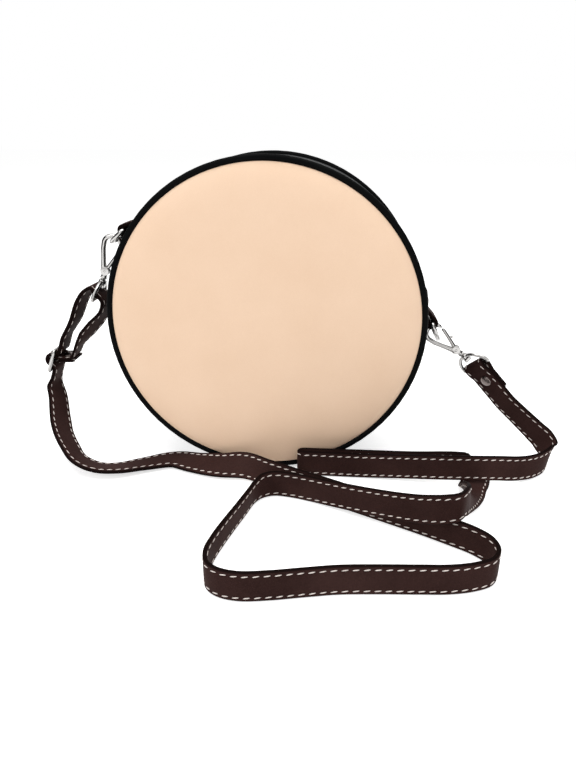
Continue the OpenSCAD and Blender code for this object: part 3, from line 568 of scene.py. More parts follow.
def strip_section(low, high, hem=None):
    """Radius and depth round a strip from low to high. The edge at depth hem is pulled in."""
    def edge_r(z):
        return WALL_R + 0.1 - (0.28 if z == hem else 0.0)

    line = [(WALL_R - WALL_T, low), (WALL_R - WALL_T, high), (edge_r(high), high)]
    line += [(WALL_R, z) for z in np.linspace(high, low, 7)[1:-1]] + [(edge_r(low), low)]
    return eased(line, 0.5, 2)


lower_wall = turned("gusset_lower", strip_section(-WALL_Z, WALL_Z), ZIP_ANGLE + 1, 360 - ZIP_ANGLE - 1,
                    floor_at=0.0)
back_wall = turned("gusset_back_strip", strip_section(-WALL_Z, -ZIP_GAP, hem=-ZIP_GAP),
                   -ZIP_ANGLE - LAP, ZIP_ANGLE + LAP)
front_wall = turned("gusset_front_strip", strip_section(ZIP_GAP, WALL_Z, hem=ZIP_GAP),
                    -ZIP_ANGLE - LAP, ZIP_ANGLE + LAP)
keep_piece(lower_wall, "bag", gusset_skin, ("gusset_base",))
keep_piece(back_wall, "bag", gusset_skin, ("zip_strip_back",))
keep_piece(front_wall, "bag", gusset_skin, ("zip_strip_front",), bend_up)
print("quads on the gusset", sum(len(wall.data.polygons) for wall in (lower_wall, back_wall, front_wall)))

# %% [markdown]
# ## Lining
# Inside, dark cloth covers the faces and the gusset, and a slip pocket is sewn to the back. It is
# seen only when the mouth is open, but then it is all there is to see. The cloth sheets are thin
# closed outlines carried round; the pocket bulges a little from its sewn edge.

# %% Lining and slip pocket
CLOTH_T, LINED_Z = 0.7, 24.9
POCKET_HALF, POCKET_LOW, POCKET_H, POCKET_Z, POCKET_BULGE = 47.5, -47.9, 68.4, 27.2, 2.3
POCKET_T, POCKET_ROWS, POCKET_COLUMNS = 0.55, 25, 33


def face_lining(name, side):
    top, low = 28.1, 24.3
    line = [(0.6, top), (78, top), (85.6, LINED_Z), (90.3, LINED_Z), (90.3, low), (85.3, low),
            (77.8, top - CLOTH_T), (0.6, top - CLOTH_T)]
    return turned(name, [(r, side * z) for r, z in line], step=4.0)


def pocket_cloth():
    rows = []
    for i in range(POCKET_ROWS):
        v = i / (POCKET_ROWS - 1)
        row = []
        for j in range(POCKET_COLUMNS):
            u = j / (POCKET_COLUMNS - 1)
            bulge = POCKET_BULGE * (sin(pi * u) ** 0.5) * (0.35 + 0.65 * v) * min(1, 4 * v)
            row.append(on_bag(-POCKET_HALF + 2 * POCKET_HALF * u, POCKET_LOW + POCKET_H * v,
                              -(POCKET_Z - 0.25 - bulge)))
        rows.append(row)
    outer = np.array(rows)
    inner = outer + np.array([0, POCKET_T, 0])
    sheet = skin("pocket_sheet", np.concatenate([outer, inner[:, ::-1]], axis=1), crisp=60)
    bag_up = np.array([sin(ROLL), 0, cos(ROLL)])
    hem = [[mouth + np.array([0, -0.5 * cos(a) + 0.1, 0]) + 0.55 * sin(a) * bag_up
            for a in np.linspace(0, 2 * pi, 9)[:-1]] for mouth in outer[-1]]
    return joined("pocket_cloth", [sheet, skin("pocket_hem", hem)])


keep_piece(face_lining("front_lining_cloth", 1), "bag", lining_cloth, ("front_lining", "mouth_lining"),
           bend_up)
keep_piece(face_lining("back_lining_cloth", -1), "bag", lining_cloth, ("back_lining",))
outer_r = INSIDE_R + CLOTH_T
low_section = [(outer_r, -LINED_Z), (outer_r, LINED_Z), (INSIDE_R, LINED_Z), (INSIDE_R, -LINED_Z)]
high_section = [(outer_r, -LINED_Z), (outer_r, -7.0), (INSIDE_R, -6.6), (INSIDE_R, -LINED_Z)]
low_sheet = turned("low", low_section, ZIP_ANGLE + 4, 360 - ZIP_ANGLE - 4, 4.0)
high_sheet = turned("high", high_section, -ZIP_ANGLE - 4, ZIP_ANGLE + 4, 4.0)
keep_piece(joined("wall_lining_cloth", [low_sheet, high_sheet]), "bag", lining_cloth, ("gusset_lining",))
keep_piece(pocket_cloth(), "bag", lining_cloth, ("slip_pocket",))
print("lining pieces", len([piece for piece in made_pieces if piece.name.endswith("cloth")]))

# %% [markdown]
# ## Rows of small things
# Stitches and zip teeth are one small shape set down again and again along a line. That is work
# for Geometry Nodes: a tree takes lines that carry an "out" direction, steps along them by a
# pitch, stands a shape on each step and makes the copies real, because the export needs real
# mesh. The result is baked at once, so no modifier is left.

# %% The row tree
ROW_SIZES = ("Pitch", "Length", "Width", "Height", "Slant")


def row_tree(name, shape, shape_sizes):
    tree = bpy.data.node_groups.new(name, "GeometryNodeTree")
    tree.interface.new_socket("Lines", in_out="INPUT", socket_type="NodeSocketGeometry")
    for label in ROW_SIZES:
        tree.interface.new_socket(label, in_out="INPUT", socket_type="NodeSocketFloat")
    tree.interface.new_socket("Material", in_out="INPUT", socket_type="NodeSocketMaterial")
    tree.interface.new_socket("Row", in_out="OUTPUT", socket_type="NodeSocketGeometry")
    node = Recipe(tree).node

    def given(label):
        return node("NodeGroupInput", output=label)

    curve = node("GeometryNodeMeshToCurve", {"Mesh": given("Lines")})
    steps = node("GeometryNodeResampleCurve", {"Curve": curve, "Length": given("Pitch")}, mode="LENGTH")
    outward = node("GeometryNodeInputNamedAttribute", {"Name": "out"}, "Attribute", data_type="FLOAT_VECTOR")
    stand = node("FunctionNodeAlignRotationToVector", {"Vector": outward}, axis="Z")
    aim = node("FunctionNodeAlignRotationToVector",
               {"Rotation": stand, "Vector": node("GeometryNodeInputTangent")}, axis="X", pivot_axis="Z")
    slant = node("FunctionNodeAxisAngleToRotation", {"Axis": (0, 0, 1), "Angle": given("Slant")})
    turn = node("FunctionNodeRotateRotation", {"Rotation": aim, "Rotate By": slant}, rotation_space="LOCAL")
    size = node("ShaderNodeCombineXYZ", {"X": given("Length"), "Y": given("Width"), "Z": given("Height")})
    stood = node("GeometryNodeInstanceOnPoints",
                 {"Points": steps, "Instance": node(shape, shape_sizes), "Rotation": turn, "Scale": size})
    real = node("GeometryNodeRealizeInstances", {0: stood})
    dress = node("GeometryNodeSetMaterial", {"Geometry": real, "Material": given("Material")})
    node("NodeGroupOutput", {"Row": dress})
    return tree


stitch_tree = row_tree("stitch_row", "GeometryNodeMeshUVSphere", {"Segments": 8, "Rings": 6, "Radius": 0.5})
tooth_tree = row_tree("tooth_row", "GeometryNodeMeshCube", {"Size": (1, 1, 1)})


def row_of(name, lines, outs, tree, material, pitch, length, width, height, slant=0.0):
    """lines and outs are lists of point rows and direction rows; sizes are in millimetres."""
    points, edges, ways = [], [], []
    for line, out in zip(lines, outs):
        first = len(points)
        points += [tuple(np.asarray(p) * MM) for p in line]
        ways += [tuple(unit(o)) for o in out]
        edges += [(first + i, first + i + 1) for i in range(len(line) - 1)]
    mesh = bpy.data.meshes.new(name)
    mesh.from_pydata(points, edges, [])
    mesh.attributes.new("out", "FLOAT_VECTOR", "POINT").data.foreach_set("vector", np.array(ways).ravel())
    source = new_object(name + "_lines", mesh)
    work = source.modifiers.new("row", "NODES")
    work.node_group = tree
    sockets = {item.name: item.identifier for item in tree.interface.items_tree if item.in_out == "INPUT"}
    for label, size in zip(ROW_SIZES, (pitch * MM, length * MM, width * MM, height * MM, slant)):
        work[sockets[label]] = size
    work[sockets["Material"]] = material
    baked = bpy.data.meshes.new_from_object(source.evaluated_get(bpy.context.evaluated_depsgraph_get()))
    bpy.data.objects.remove(source)
    baked.name = name
    if tree is stitch_tree:
        baked.shade_smooth()
    return new_object(name, baked)


print("trees", stitch_tree.name, tooth_tree.name)

# %% [markdown]
# ## Zip
# The zip follows the rim between the two strips: woven tape, two rows of moulded teeth that lock
# into each other, and a stop at each end. Each tooth is a small block that reaches a little past
# the middle.

# %% Zip tapes, teeth and stops
TAPE_IN, TAPE_OUT, TOOTH_R, TOOTH_Z = 90.9, 91.35, 91.95, 1.05
TOOTH_STAGGER, STOP_HALF = 0.45, 0.55


def arc_line(radius, z, start, end, step=1.0):
    """Points along the rim, and the way outwards at each."""
    angles = np.linspace(start, end, int((end - start) / step) + 1)
    return [around(radius, a, z) for a in angles], [around(1, a, 0) - on_bag(0, 0, 0) for a in angles]


for side, word, bend, stands_for in ((-1, "back", None, ("zip_chain_back", "zip_ends")),
                                     (1, "front", bend_up, ("zip_chain_front",))):
    low, high = sorted((side * 0.35, side * 6.4))
    tape_section = [(TAPE_IN, low), (TAPE_IN, high), (TAPE_OUT, high), (TAPE_OUT, low)]
    tape = turned("zip_tape_" + word, tape_section, -ZIP_ANGLE, ZIP_ANGLE)
    keep_piece(tape, "bag", tape_cloth, stands_for, bend)
    offset = side * TOOTH_STAGGER
    line, out = arc_line(TOOTH_R, side * TOOTH_Z, -ZIP_ANGLE + 0.6 + offset, ZIP_ANGLE - 0.6 + offset)
    teeth = row_of("zip_teeth_" + word, [line], [out], tooth_tree, tooth_plastic, pitch=2.9, length=1.15,
                   width=2.5, height=1.5)
    keep_piece(teeth, "bag", tooth_plastic, (), bend)

stop_section = eased([(TAPE_IN, -2.3), (TAPE_IN, 2.3), (WALL_R, 2.3), (WALL_R, -2.3)], 0.6, 2)
stops = [turned("stop", stop_section, a - STOP_HALF, a + STOP_HALF, 0.3)
         for a in (-ZIP_ANGLE - 0.2, ZIP_ANGLE + 0.2)]
keep_piece(joined("zip_stops", stops), "bag", tooth_plastic, ())
tooth_faces = sum(len(piece.data.polygons) for piece in made_pieces if piece.name.startswith("zip_teeth"))
print("zip teeth", tooth_faces // 6)

# %% [markdown]
# ## Metal parts
# The slider, rings, clasps and adjuster are cast or bent and then nickel plated. Bent wire is a
# circle carried along the wire's own line, closed on itself for a ring. Cast parts are a rounded
# outline carried along a spine whose section swells and narrows, with turned pucks for bosses.

# %% Wire, castings and turned parts
def square(v, to):
    """v without what it has along to, made one long."""
    v = np.asarray(v, float)
    return unit(v - np.dot(v, to) * to)


def tube(name, path, radii, up, closed=False, sides=16, flat=None):
    """Carries a round or oval section along a path. flat gives the half height along up."""
    path = np.asarray(path, float)
    count = len(path)
    radii = np.broadcast_to(radii, (count,))
    flats = radii if flat is None else np.broadcast_to(flat, (count,))
    rows = []
    for i, p in enumerate(path):
        ahead = path[(i + 1) % count if closed else min(i + 1, count - 1)]
        behind = path[i - 1 if closed or i else 0]
        d = unit(ahead - behind)
        z = square(up, d)
        y = np.cross(z, d)
        rows.append([p + radii[i] * cos(a) * y + flats[i] * sin(a) * z
                     for a in np.linspace(0, 2 * pi, sides + 1)[:-1]])
    return skin(name, rows, closed=closed, crisp=60)


def lathe(name, profile, at, axis, sides=32):
    """Turns a profile of radius and height about an axis. It starts and ends on the axis."""
    axis = unit(axis)
    x = unit(np.cross(axis, [0.13, 0.9, 0.41]))
    y = np.cross(axis, x)
    rows = [[np.asarray(at, float) + max(r, 0.02) * (cos(a) * x + sin(a) * y) + h * axis
             for a in np.linspace(0, 2 * pi, sides + 1)[:-1]] for r, h in profile]
    return skin(name, rows, crisp=40)


def puck(name, at, axis, radius, height, soft):
    h = height / 2
    curve = [(radius - soft + soft * sin(radians(a)), h - soft + soft * cos(radians(a)))
             for a in (0, 30, 60, 90)]
    return lathe(name, [(0.02, h)] + curve + [(r, -z) for r, z in curve[::-1]] + [(0.02, -h)], at, axis)


def in_frame(at, x, y):
    """A function that places u, v and w given along x, y and z of a part's own frame."""
    x, y, at = np.asarray(x, float), np.asarray(y, float), np.asarray(at, float)
    z = np.cross(x, y)

    def spot(u, v=0.0, w=0.0):
        return at + u * x + v * y + w * z

    return spot


def bow_line(half, leg):
    """The middle of a D-shaped wire in its own plane: its bar at u = 0, its bow beyond the legs."""
    bend, leg_from = 1.2, 1.3
    corner = [(bend - bend * cos(radians(a)), half - bend + bend * sin(radians(a))) for a in (20, 45, 70)]
    line = [(0.0, v) for v in np.linspace(-half + bend, half - bend, 9)] + corner
    for a in range(0, 181, 6):
        u = leg + half * sin(radians(a)) if a > 0 else max(leg, leg_from)
        line.append((u, half * cos(radians(a))))
    line += [(u, -v) for u, v in corner[::-1]]
    return [(u, v) for u, v in line if not (half - abs(v) < 0.5 and leg_from < u < leg - 0.01)]


print("builders", [builder.__name__ for builder in (tube, lathe, puck)])

# %% [markdown]
# ## Where the hardware hangs
# The tabs hold the D-rings, the clasps hook into those, and the strap's end rings hang on the
# clasps' swivels. These are the same places as in the part's source, in millimetres.

# %% Hardware places
LUG_R, TAB_ANGLE = 100.5, 75.5
D_REACH, D_WIRE_R, TAB_W = 13, 1.38, 19
D_HALF = TAB_W / 2 + 1.4 + 0.4
RING_HALF, RING_WIRE_R, EYE_X, HOOK_SEAT = 10.65, 1.18, 7.3, 19.7
BAR_X = EYE_X + RING_HALF


def bar_at(angle):
    """The middle of a D-ring's bar, angle degrees clockwise from straight up, as the bag stands."""
    return np.array([LUG_R * sin(radians(angle)), 0, RING_Z + LUG_R * cos(radians(angle))])


D_BAR = {"left": bar_at(-TAB_ANGLE + ROLL_DEGREES), "right": bar_at(TAB_ANGLE + ROLL_DEGREES)}
D_DIR = {"left": unit([-0.78, 0, -0.63]), "right": unit([0.42, 0, -0.907])}
AXIS = {"left": unit([0.37, 0, 0.93]), "right": unit([-0.80, 0.03, 0.60])}
SIDEWAYS = {"left": np.array([0.93, 0, -0.37]), "right": square([0.6, 0, 0.8], AXIS["right"])}
ACROSS = {"left": np.array([0.0, -1, 0]), "right": square([0.38, -0.62, 0.68], AXIS["right"])}
PIVOT = {"left": D_BAR["left"] + D_REACH * D_DIR["left"] - HOOK_SEAT * AXIS["left"],
         "right": D_BAR["right"] + BAG_D * np.array([0.0989, 0.0263, -0.1111])}
RING_BAR = {side: PIVOT[side] - BAR_X * AXIS[side] for side in PIVOT}
ALONG, OUT = unit([0.36, 0, 0.93]), unit([-0.93, 0, 0.36])
ADJUSTER_MID = RING_BAR["left"] + BAG_D * np.array([-0.172, -0.005, -0.218])
print({side: PIVOT[side].round(1).tolist() for side in PIVOT}, "adjuster", ADJUSTER_MID.round(1))

# %% D-rings and end rings
def d_ring(side):
    spot = in_frame(D_BAR[side], D_DIR[side], [0, 1, 0])
    path = [spot(u, v) for u, v in bow_line(D_HALF, D_REACH - D_HALF)]
    ring = tube("d_ring_wire_" + side, path, D_WIRE_R, np.cross(D_DIR[side], [0, 1, 0]), closed=True)
    keep_piece(ring, "d_ring_" + side, nickel, ("d_ring_" + side,))


def end_ring(side):
    spot = in_frame(PIVOT[side], AXIS[side], ACROSS[side])
    path = [spot(u - BAR_X, v) for u, v in bow_line(RING_HALF, 0)]
    wire = tube("wire", path, RING_WIRE_R, np.cross(AXIS[side], ACROSS[side]), closed=True)
    profile = [(1.35, -1.1), (2.2, -1.1), (2.45, -0.8), (2.45, 0.8), (2.2, 1.1), (1.35, 1.1), (1.3, 0),
               (1.35, -1.1)]
    swivel_eye = lathe("eye", profile, spot(-EYE_X), AXIS[side])
    keep_piece(joined("end_ring_wire_" + side, [wire, swivel_eye]), "end_ring_" + side, nickel,
               ("end_ring_" + side,))


print("the middle of a D-ring's wire is", 2 * D_HALF, "by", D_REACH, "mm")

# %% [markdown]
# ## Clasps
# A trigger clasp is one casting: a hook that starts at two cheeks, a neck, a collar, and a post
# with a square nut that turns in the ring's eye. Its gate is an arm on a pin between the cheeks,
# with a stud for the thumb. Each is a line of chosen points with a width and a thickness at each.

# %% Clasps and gates
HOOK_X, HOOK_R, CHEEK_Z = 24.5 - 7.0, 7.0 - 1.55, 1.6
NUT_HALF, NUT_IN, NUT_OUT, NUT_SOFT = 2.1, -9.0, -11.1, 0.86


def clasp(side):
    spot = in_frame(PIVOT[side], AXIS[side], SIDEWAYS[side])
    up = np.cross(AXIS[side], SIDEWAYS[side])
    line = [(0.0, -0.9), (3.0, -1.9), (6.5, -2.9), (10.0, -3.9), (13.5, -4.9)]
    line += [(HOOK_X + HOOK_R * cos(radians(a)), HOOK_R * sin(radians(a))) for a in range(-86, 101, 8)]
    widths = [1.9, 1.75, 1.5, 1.45, 1.5] + [1.55] * 18 + [1.5, 1.42, 1.3, 1.1, 0.75, 0.4]
    flats = [1.7] * 5 + [1.75] * 21 + [1.6, 1.35, 0.9]
    parts = [tube("spine", [spot(u, v) for u, v in line], widths, up, flat=flats, sides=20)]
    for w in (-1, 1):
        parts.append(puck("cheek", spot(0, 0, w * CHEEK_Z), up, 2.75, 0.62, 0.2))
        pin_head = [(0.02, 0.0), (0.9, 0.0), (0.9, 0.16), (0.6, 0.3), (0.02, 0.34)]
        parts.append(lathe("pin_head", pin_head, spot(0, 0, w * 1.78), up * w, 20))
    neck = [spot(u) for u in (0.6, -1.0, -2.6, -4.0, -4.4)]
    widths, flats = [2.2, 1.95, 1.8, 1.9, 1.7], [1.25, 1.5, 1.7, 1.9, 1.7]
    parts.append(tube("neck", neck, widths, up, flat=flats, sides=24))
    collar = [(0.02, -4.3), (2.0, -4.3), (2.15, -4.6), (2.0, -4.95), (1.45, -5.5), (1.25, -6.0), (0.02, -6.0)]
    parts.append(lathe("collar", collar, spot(0), AXIS[side]))
    post = [(0.02, -5.6), (1.15, -5.6), (1.15, -8.8), (0.02, -8.8)]
    parts.append(lathe("post", post, spot(0), AXIS[side]))
    nut_corners = [(NUT_HALF * v, NUT_HALF * w) for v, w in ((-1, -1), (1, -1), (1, 1), (-1, 1))]
    nut_outline = eased(nut_corners, 0.45, 2)
    nut_steps = ((NUT_IN, NUT_SOFT), (NUT_IN - 0.25, 1.0), (NUT_OUT + 0.25, 1.0), (NUT_OUT, NUT_SOFT))
    parts.append(skin("nut", [[spot(u, *(grow * q)) for q in nut_outline] for u, grow in nut_steps]))
    keep_piece(joined("clasp_cast_" + side, parts), "clasp_" + side, nickel, ("clasp_" + side,))


def gate(side):
    spot = in_frame(PIVOT[side], AXIS[side], SIDEWAYS[side])
    up = np.cross(AXIS[side], SIDEWAYS[side])
    line = [(0.3, 0.1), (2.5, 0.95), (5.5, 2.0), (8.5, 3.0), (11.5, 3.95), (14.0, 4.7), (15.3, 5.1),
            (15.9, 5.28)]
    widths = [1.3, 1.25, 1.15, 1.1, 1.08, 1.06, 1.0, 0.6]
    flats = [1.2, 1.22, 1.22, 1.22, 1.2, 1.15, 1.0, 0.55]
    arm = tube("arm", [spot(u, v) for u, v in line], widths, up, flat=flats)
    knuckle = puck("knuckle", spot(0, 0), up, 1.95, 2.5, 0.2)
    profile = [(0.02, 0.0), (0.8, 0.0), (0.75, 0.8), (1.05, 1.15), (1.0, 1.5), (0.6, 1.75), (0.02, 1.8)]
    stud = lathe("stud", profile, spot(8.2, 3.7), SIDEWAYS[side] * 0.94 - AXIS[side] * 0.33, 20)
    keep_piece(joined("gate_cast_" + side, [arm, knuckle, stud]), "gate_" + side, nickel, ("gate_" + side,))


for side in ("left", "right"):
    d_ring(side)
    end_ring(side)
    clasp(side)
    gate(side)
hardware = [piece for piece in made_pieces if "ring" in piece.name or "cast" in piece.name]
print("hardware pieces", len(hardware), "faces", sum(len(piece.data.polygons) for piece in hardware))

# %% [markdown]
# ## Zip slider
# A slider is two plates joined by a wedge, with a bridge on top that holds the pull's pin. The
# plates have rounded corners and thin edges, and the pull is a flat tongue with a hole.

# %% Slider and pull
SLIDER_TURN = radians(57.5)
HOLE_X, HOLE_R = 8.9, 1.25
PIN_X, PIN_R, PIN_HALF, PIN_WIRE_R = -1.125, 95.2, 2.6, 0.44


def on_slider(x, r, z):
    """x leads along the zip from the slider's middle, r outwards from the bag's centre."""
    return on_bag(x * cos(SLIDER_TURN) - r * sin(SLIDER_TURN), x * sin(SLIDER_TURN) + r * cos(SLIDER_TURN), z)


def plate(name, outline, low, high, soft=0.25):
    """A plate between two radii, drawn in by soft at its two faces."""
    middle = np.mean(outline, axis=0)
    rows = [[on_slider(x - inset * np.sign(x - middle[0]), r, z - inset * np.sign(z)) for x, z in outline]
            for r, inset in ((low, soft), (low + soft, 0), (high - soft, 0), (high, soft))]
    return skin(name, rows)


body_outline = eased([(-4.5, -2.9), (-1.5, -4.3), (3.0, -4.3), (4.5, -2.6), (4.5, 2.6), (3.0, 4.3),
                      (-1.5, 4.3), (-4.5, 2.9)], 1.0, 3)
wedge_outline = eased([(-1.8, -0.25), (2.0, -0.2), (2.0, 0.2), (-1.8, 0.25)], 0.1, 1)
slider_parts = [plate("top", body_outline, 93.35, 94.4), plate("under", body_outline, 89.35, 90.4),
                plate("wedge", wedge_outline, 90.0, 93.6, 0.01)]
cheek_outline = eased([(-2.3, 94.2), (-2.1, 95.5), (-1.1, 95.95), (-0.1, 95.5), (0.1, 94.2)], 0.4, 2)
for z in (-2.2, 2.2):
    cheek = [[on_slider(x, r, z + w) for x, r in cheek_outline] for w in (-0.5, -0.4, 0.4, 0.5)]
    slider_parts.append(skin("cheek", cheek))
keep_piece(joined("slider_cast", slider_parts), "zip_slider", nickel, ("zip_slider",))


def angle_at_hole(point):
    return np.arctan2(point[1], point[0] - HOLE_X)


pin = [(0.02, -PIN_HALF), (PIN_WIRE_R, -PIN_HALF), (PIN_WIRE_R, PIN_HALF), (0.02, PIN_HALF)]
link_outline = eased([(-1.6, -1.55), (2.4, -1.55), (2.4, 1.55), (-1.6, 1.55)], 0.5, 3)
pull_parts = [lathe("pin", pin, on_slider(PIN_X, PIN_R, 0), on_slider(0, 0, 1) - on_slider(0, 0, 0), 16),
              plate("link", link_outline, 94.85, 95.55, 0.15)]
outer = eased([(1.7, -1.9), (11.0, -2.9), (12.7, -2.0), (12.7, 2.0), (11.0, 2.9), (1.7, 1.9)], 1.0, 4)
outer = sorted(outer, key=angle_at_hole)
inner = [(HOLE_X + HOLE_R * cos(angle_at_hole(q)), HOLE_R * sin(angle_at_hole(q))) for q in outer]
tongue = [[on_slider(x - inset * np.sign(x - HOLE_X), r, z - inset * np.sign(z)) for x, z in outline]
          for outline, r, inset in ((inner, 94.8, 0), (outer, 94.8, 0.15), (outer, 94.95, 0),
                                    (outer, 95.45, 0), (outer, 95.6, 0.15), (inner, 95.6, 0))]
pull_parts.append(skin("tongue", tongue, closed=True))
keep_piece(joined("pull_cast", pull_parts), "zip_pull", nickel, ("zip_pull",))
print("slider at", on_slider(0, WALL_R, 0).round(1))

# %% [markdown]
# ## The strap's route
# The strap is leather on edge, led from the right end ring over the floor to the left one. Its
# route is a list of rows: a place on its middle line, then the way across the strap
# towards its upper edge. Rows that hang in the air are shares of the bag's width. Lying rows are
# too, but their y is counted from the plane of the bag's face and their height is a share of the
# strap's width. Rows by the left ring are shares of ADJUST_L, the length from that ring to the
# adjuster, counted from the ring. A curve through them that slows down where they lie close gives
# the bends of stiff leather.

# %% Route rows, the same as in the part's source
STRAP_W, STRAP_T, TAIL_T = 16.5, 2.2, 1.4
ADJUST_L = 52.8
DROP_ROW = 77
riser_shares = [
    (0.802, -0.018, 0.204, 0.43, -0.61, 0.66), (0.852, -0.032, 0.16, 0.38, -0.54, 0.74),
    (0.901, -0.045, 0.117, 0.32, -0.42, 0.82)]
lying_shares = [
    (0.934, 0.116, 1, 0.28, -0.25, 0.92), (0.95, 0.095, 0.67, 0.25, 0, 1), (0.941, 0.066, 0.545, 0.15, 0, 1),
    (0.913, 0.029, 0.52, 0.05, 0, 1), (0.871, -0.004, 0.535, 0, 0, 1), (0.816, -0.032, 0.61, 0, 0, 1),
    (0.747, -0.052, 0.72, 0, 0, 1), (0.674, -0.062, 0.76, 0, 0, 1), (0.579, -0.057, 0.7, 0, 0, 1),
    (0.474, -0.045, 0.6, 0, 0, 1), (0.316, -0.037, 0.52, 0, 0, 1), (0.158, -0.033, 0.505, 0, 0, 1),
    (0.121, -0.032, 0.505, 0, 0, 1), (0.112, -0.022, 0.505, 0, 0, 1), (0.121, -0.012, 0.505, 0, 0, 1),
    (0.158, -0.011, 0.505, 0, 0, 1), (0.316, -0.009, 0.505, 0, 0, 1), (0.474, -0.008, 0.505, 0, 0, 1),
    (0.568, -0.001, 0.51, 0, 0, 1), (0.628, 0.011, 0.51, -0.05, -0.25, 1),
    (0.67, 0.017, 0.49, -0.3, -0.5, 0.75), (0.695, -0.005, 0.27, -0.9, -0.35, 0.15),
    (0.684, -0.051, 0.1, -1, -0.05, 0.02), (0.666, -0.094, 0.15, -1, 0.02, 0.12),
    (0.652, -0.141, 0.33, -0.88, 0.05, 0.46), (0.634, -0.195, 0.62, -0.72, 0, 0.69),
    (0.618, -0.25, 0.95, -0.42, 0, 0.9), (0.6, -0.313, 1.3, -0.12, 0, 1), (0.582, -0.366, 1.58, 0, 0, 1),
    (0.558, -0.4, 1.62, 0, 0, 1), (0.524, -0.397, 1.49, 0, 0, 1), (0.479, -0.369, 1.24, 0, 0, 1),
    (0.421, -0.33, 1, 0, 0, 1), (0.347, -0.285, 0.79, 0, 0, 1), (0.274, -0.246, 0.65, 0, 0, 1),
    (0.211, -0.214, 0.56, 0, 0, 1), (0.153, -0.188, 0.51, 0, 0, 1), (0.095, -0.171, 0.505, 0, 0, 1),
    (0.042, -0.166, 0.505, 0, 0, 1), (0.008, -0.184, 0.51, 0.05, 0, 1), (-0.011, -0.218, 0.51, 0.15, 0, 1),
    (-0.029, -0.282, 0.51, 0.15, 0, 1), (-0.05, -0.355, 0.51, 0.15, 0, 1), (-0.071, -0.429, 0.51, 0.12, 0, 1),
    (-0.087, -0.497, 0.51, 0.08, 0, 1), (-0.092, -0.55, 0.505, 0, 0, 1), (-0.082, -0.595, 0.505, 0, 0, 1),
    (-0.053, -0.621, 0.505, 0, 0, 1), (0, -0.633, 0.505, 0, 0, 1), (0.074, -0.625, 0.505, 0, 0, 1),
    (0.158, -0.608, 0.505, 0, 0, 1), (0.242, -0.592, 0.505, 0, 0, 1), (0.337, -0.583, 0.505, 0, 0, 1),
    (0.442, -0.576, 0.505, 0, 0, 1), (0.516, -0.57, 0.505, 0, 0, 1), (0.579, -0.555, 0.505, 0, 0, 1),
    (0.624, -0.532, 0.505, 0, 0, 1), (0.645, -0.495, 0.505, 0, 0, 1), (0.639, -0.45, 0.505, 0, 0, 1),
    (0.605, -0.411, 0.505, 0, 0, 1), (0.547, -0.374, 0.505, 0, 0, 1), (0.474, -0.332, 0.505, 0, 0, 1),
    (0.379, -0.282, 0.505, 0, 0, 1), (0.284, -0.233, 0.505, 0, 0, 1), (0.189, -0.184, 0.505, 0, 0, 1),
    (0.105, -0.144, 0.51, 0, 0.05, 1), (0.021, -0.105, 0.51, 0, 0.25, 0.95),
    (-0.063, -0.061, 0.485, -0.1, 0.55, 0.8), (-0.147, -0.051, 0.39, -0.15, 0.85, 0.5),
    (-0.232, -0.023, 0.265, -0.1, 0.97, 0.25), (-0.316, 0.006, 0.18, 0, 1, 0.08),
    (-0.411, -0.029, 0.165, 0.1, 1, -0.08), (-0.489, -0.071, 0.22, 0.1, 1, -0.2),
    (-0.558, -0.082, 0.3, 0, 1, -0.25), (-0.621, -0.066, 0.52, -0.05, 1, -0.22),
    (-0.669, -0.021, 0.82, 0.15, 0.95, -0.3)]
drop_shares = [
    (-0.713, -0.134, 0.098, 0.3, 0.86, -0.4), (-0.745, -0.071, 0.13, 0.27, 0.91, -0.28),
    (-0.765, -0.025, 0.174, 0.22, 0.96, -0.12)]
up_shares = [
    (-0.32, -0.018, -0.294, -0.1, -1, 0), (-0.201, -0.011, -0.042, -0.15, -1, 0),
    (-0.107, 0, 0.084, -0.15, -1, 0), (-0.021, 0, 0.134, -0.05, -1, 0)]
down_shares = [
    (0.091, 0, -0.031, 0, -1, 0), (0.058, 0, -0.172, -0.05, -1, 0.1), (-0.068, 0, -0.33, -0.2, -1, 0.3),
    (-0.197, -0.007, -0.47, -0.2, -1, 0.3)]
print("rows", len(riser_shares), len(lying_shares), len(drop_shares), len(up_shares), len(down_shares))

# %% From rows to a curve
FOLD_DIR = square([0.70, -0.29, -0.66], ACROSS["right"])
FOLD_OUT = np.cross(ACROSS["right"], FOLD_DIR)
FOLD_MID, FOLD_WRAP, FOLD_RIVET, FOLD_L = 1.2, 2.6, 11.0, 24.0
OUTER_WRAP, MIDDLE_WRAP, TAIL_WRAP, BAR_GAP, WEAVE_HALF = 2.5, 3.95, 1.85, 7.4, 13.0
TAIL_U, TAIL_V, TAIL_RIVET, TAIL_HALF = unit([0.39, -0.92]), unit([0.92, 0.39]), 8.0, 0.75
AWAY, BACK = np.array([0.0, -1, 0]), np.array([0.0, 1, 0])
adjuster_spot = in_frame(ADJUSTER_MID, ALONG, OUT)


def from_shares(rows, start, scale):
    return [(start + scale * np.array(row[:3]), np.array(row[3:], float)) for row in rows]


def tail_point(u, v):
    return u * TAIL_U + v * TAIL_V


def tail_in(k):
    """Where the falling band turns into the tail, k steps before it meets the tail's own line."""
    return tail_point((1.77 + 0.15 * k) * TAIL_RIVET, (2.6 + 1.6 * k) * TAIL_T)


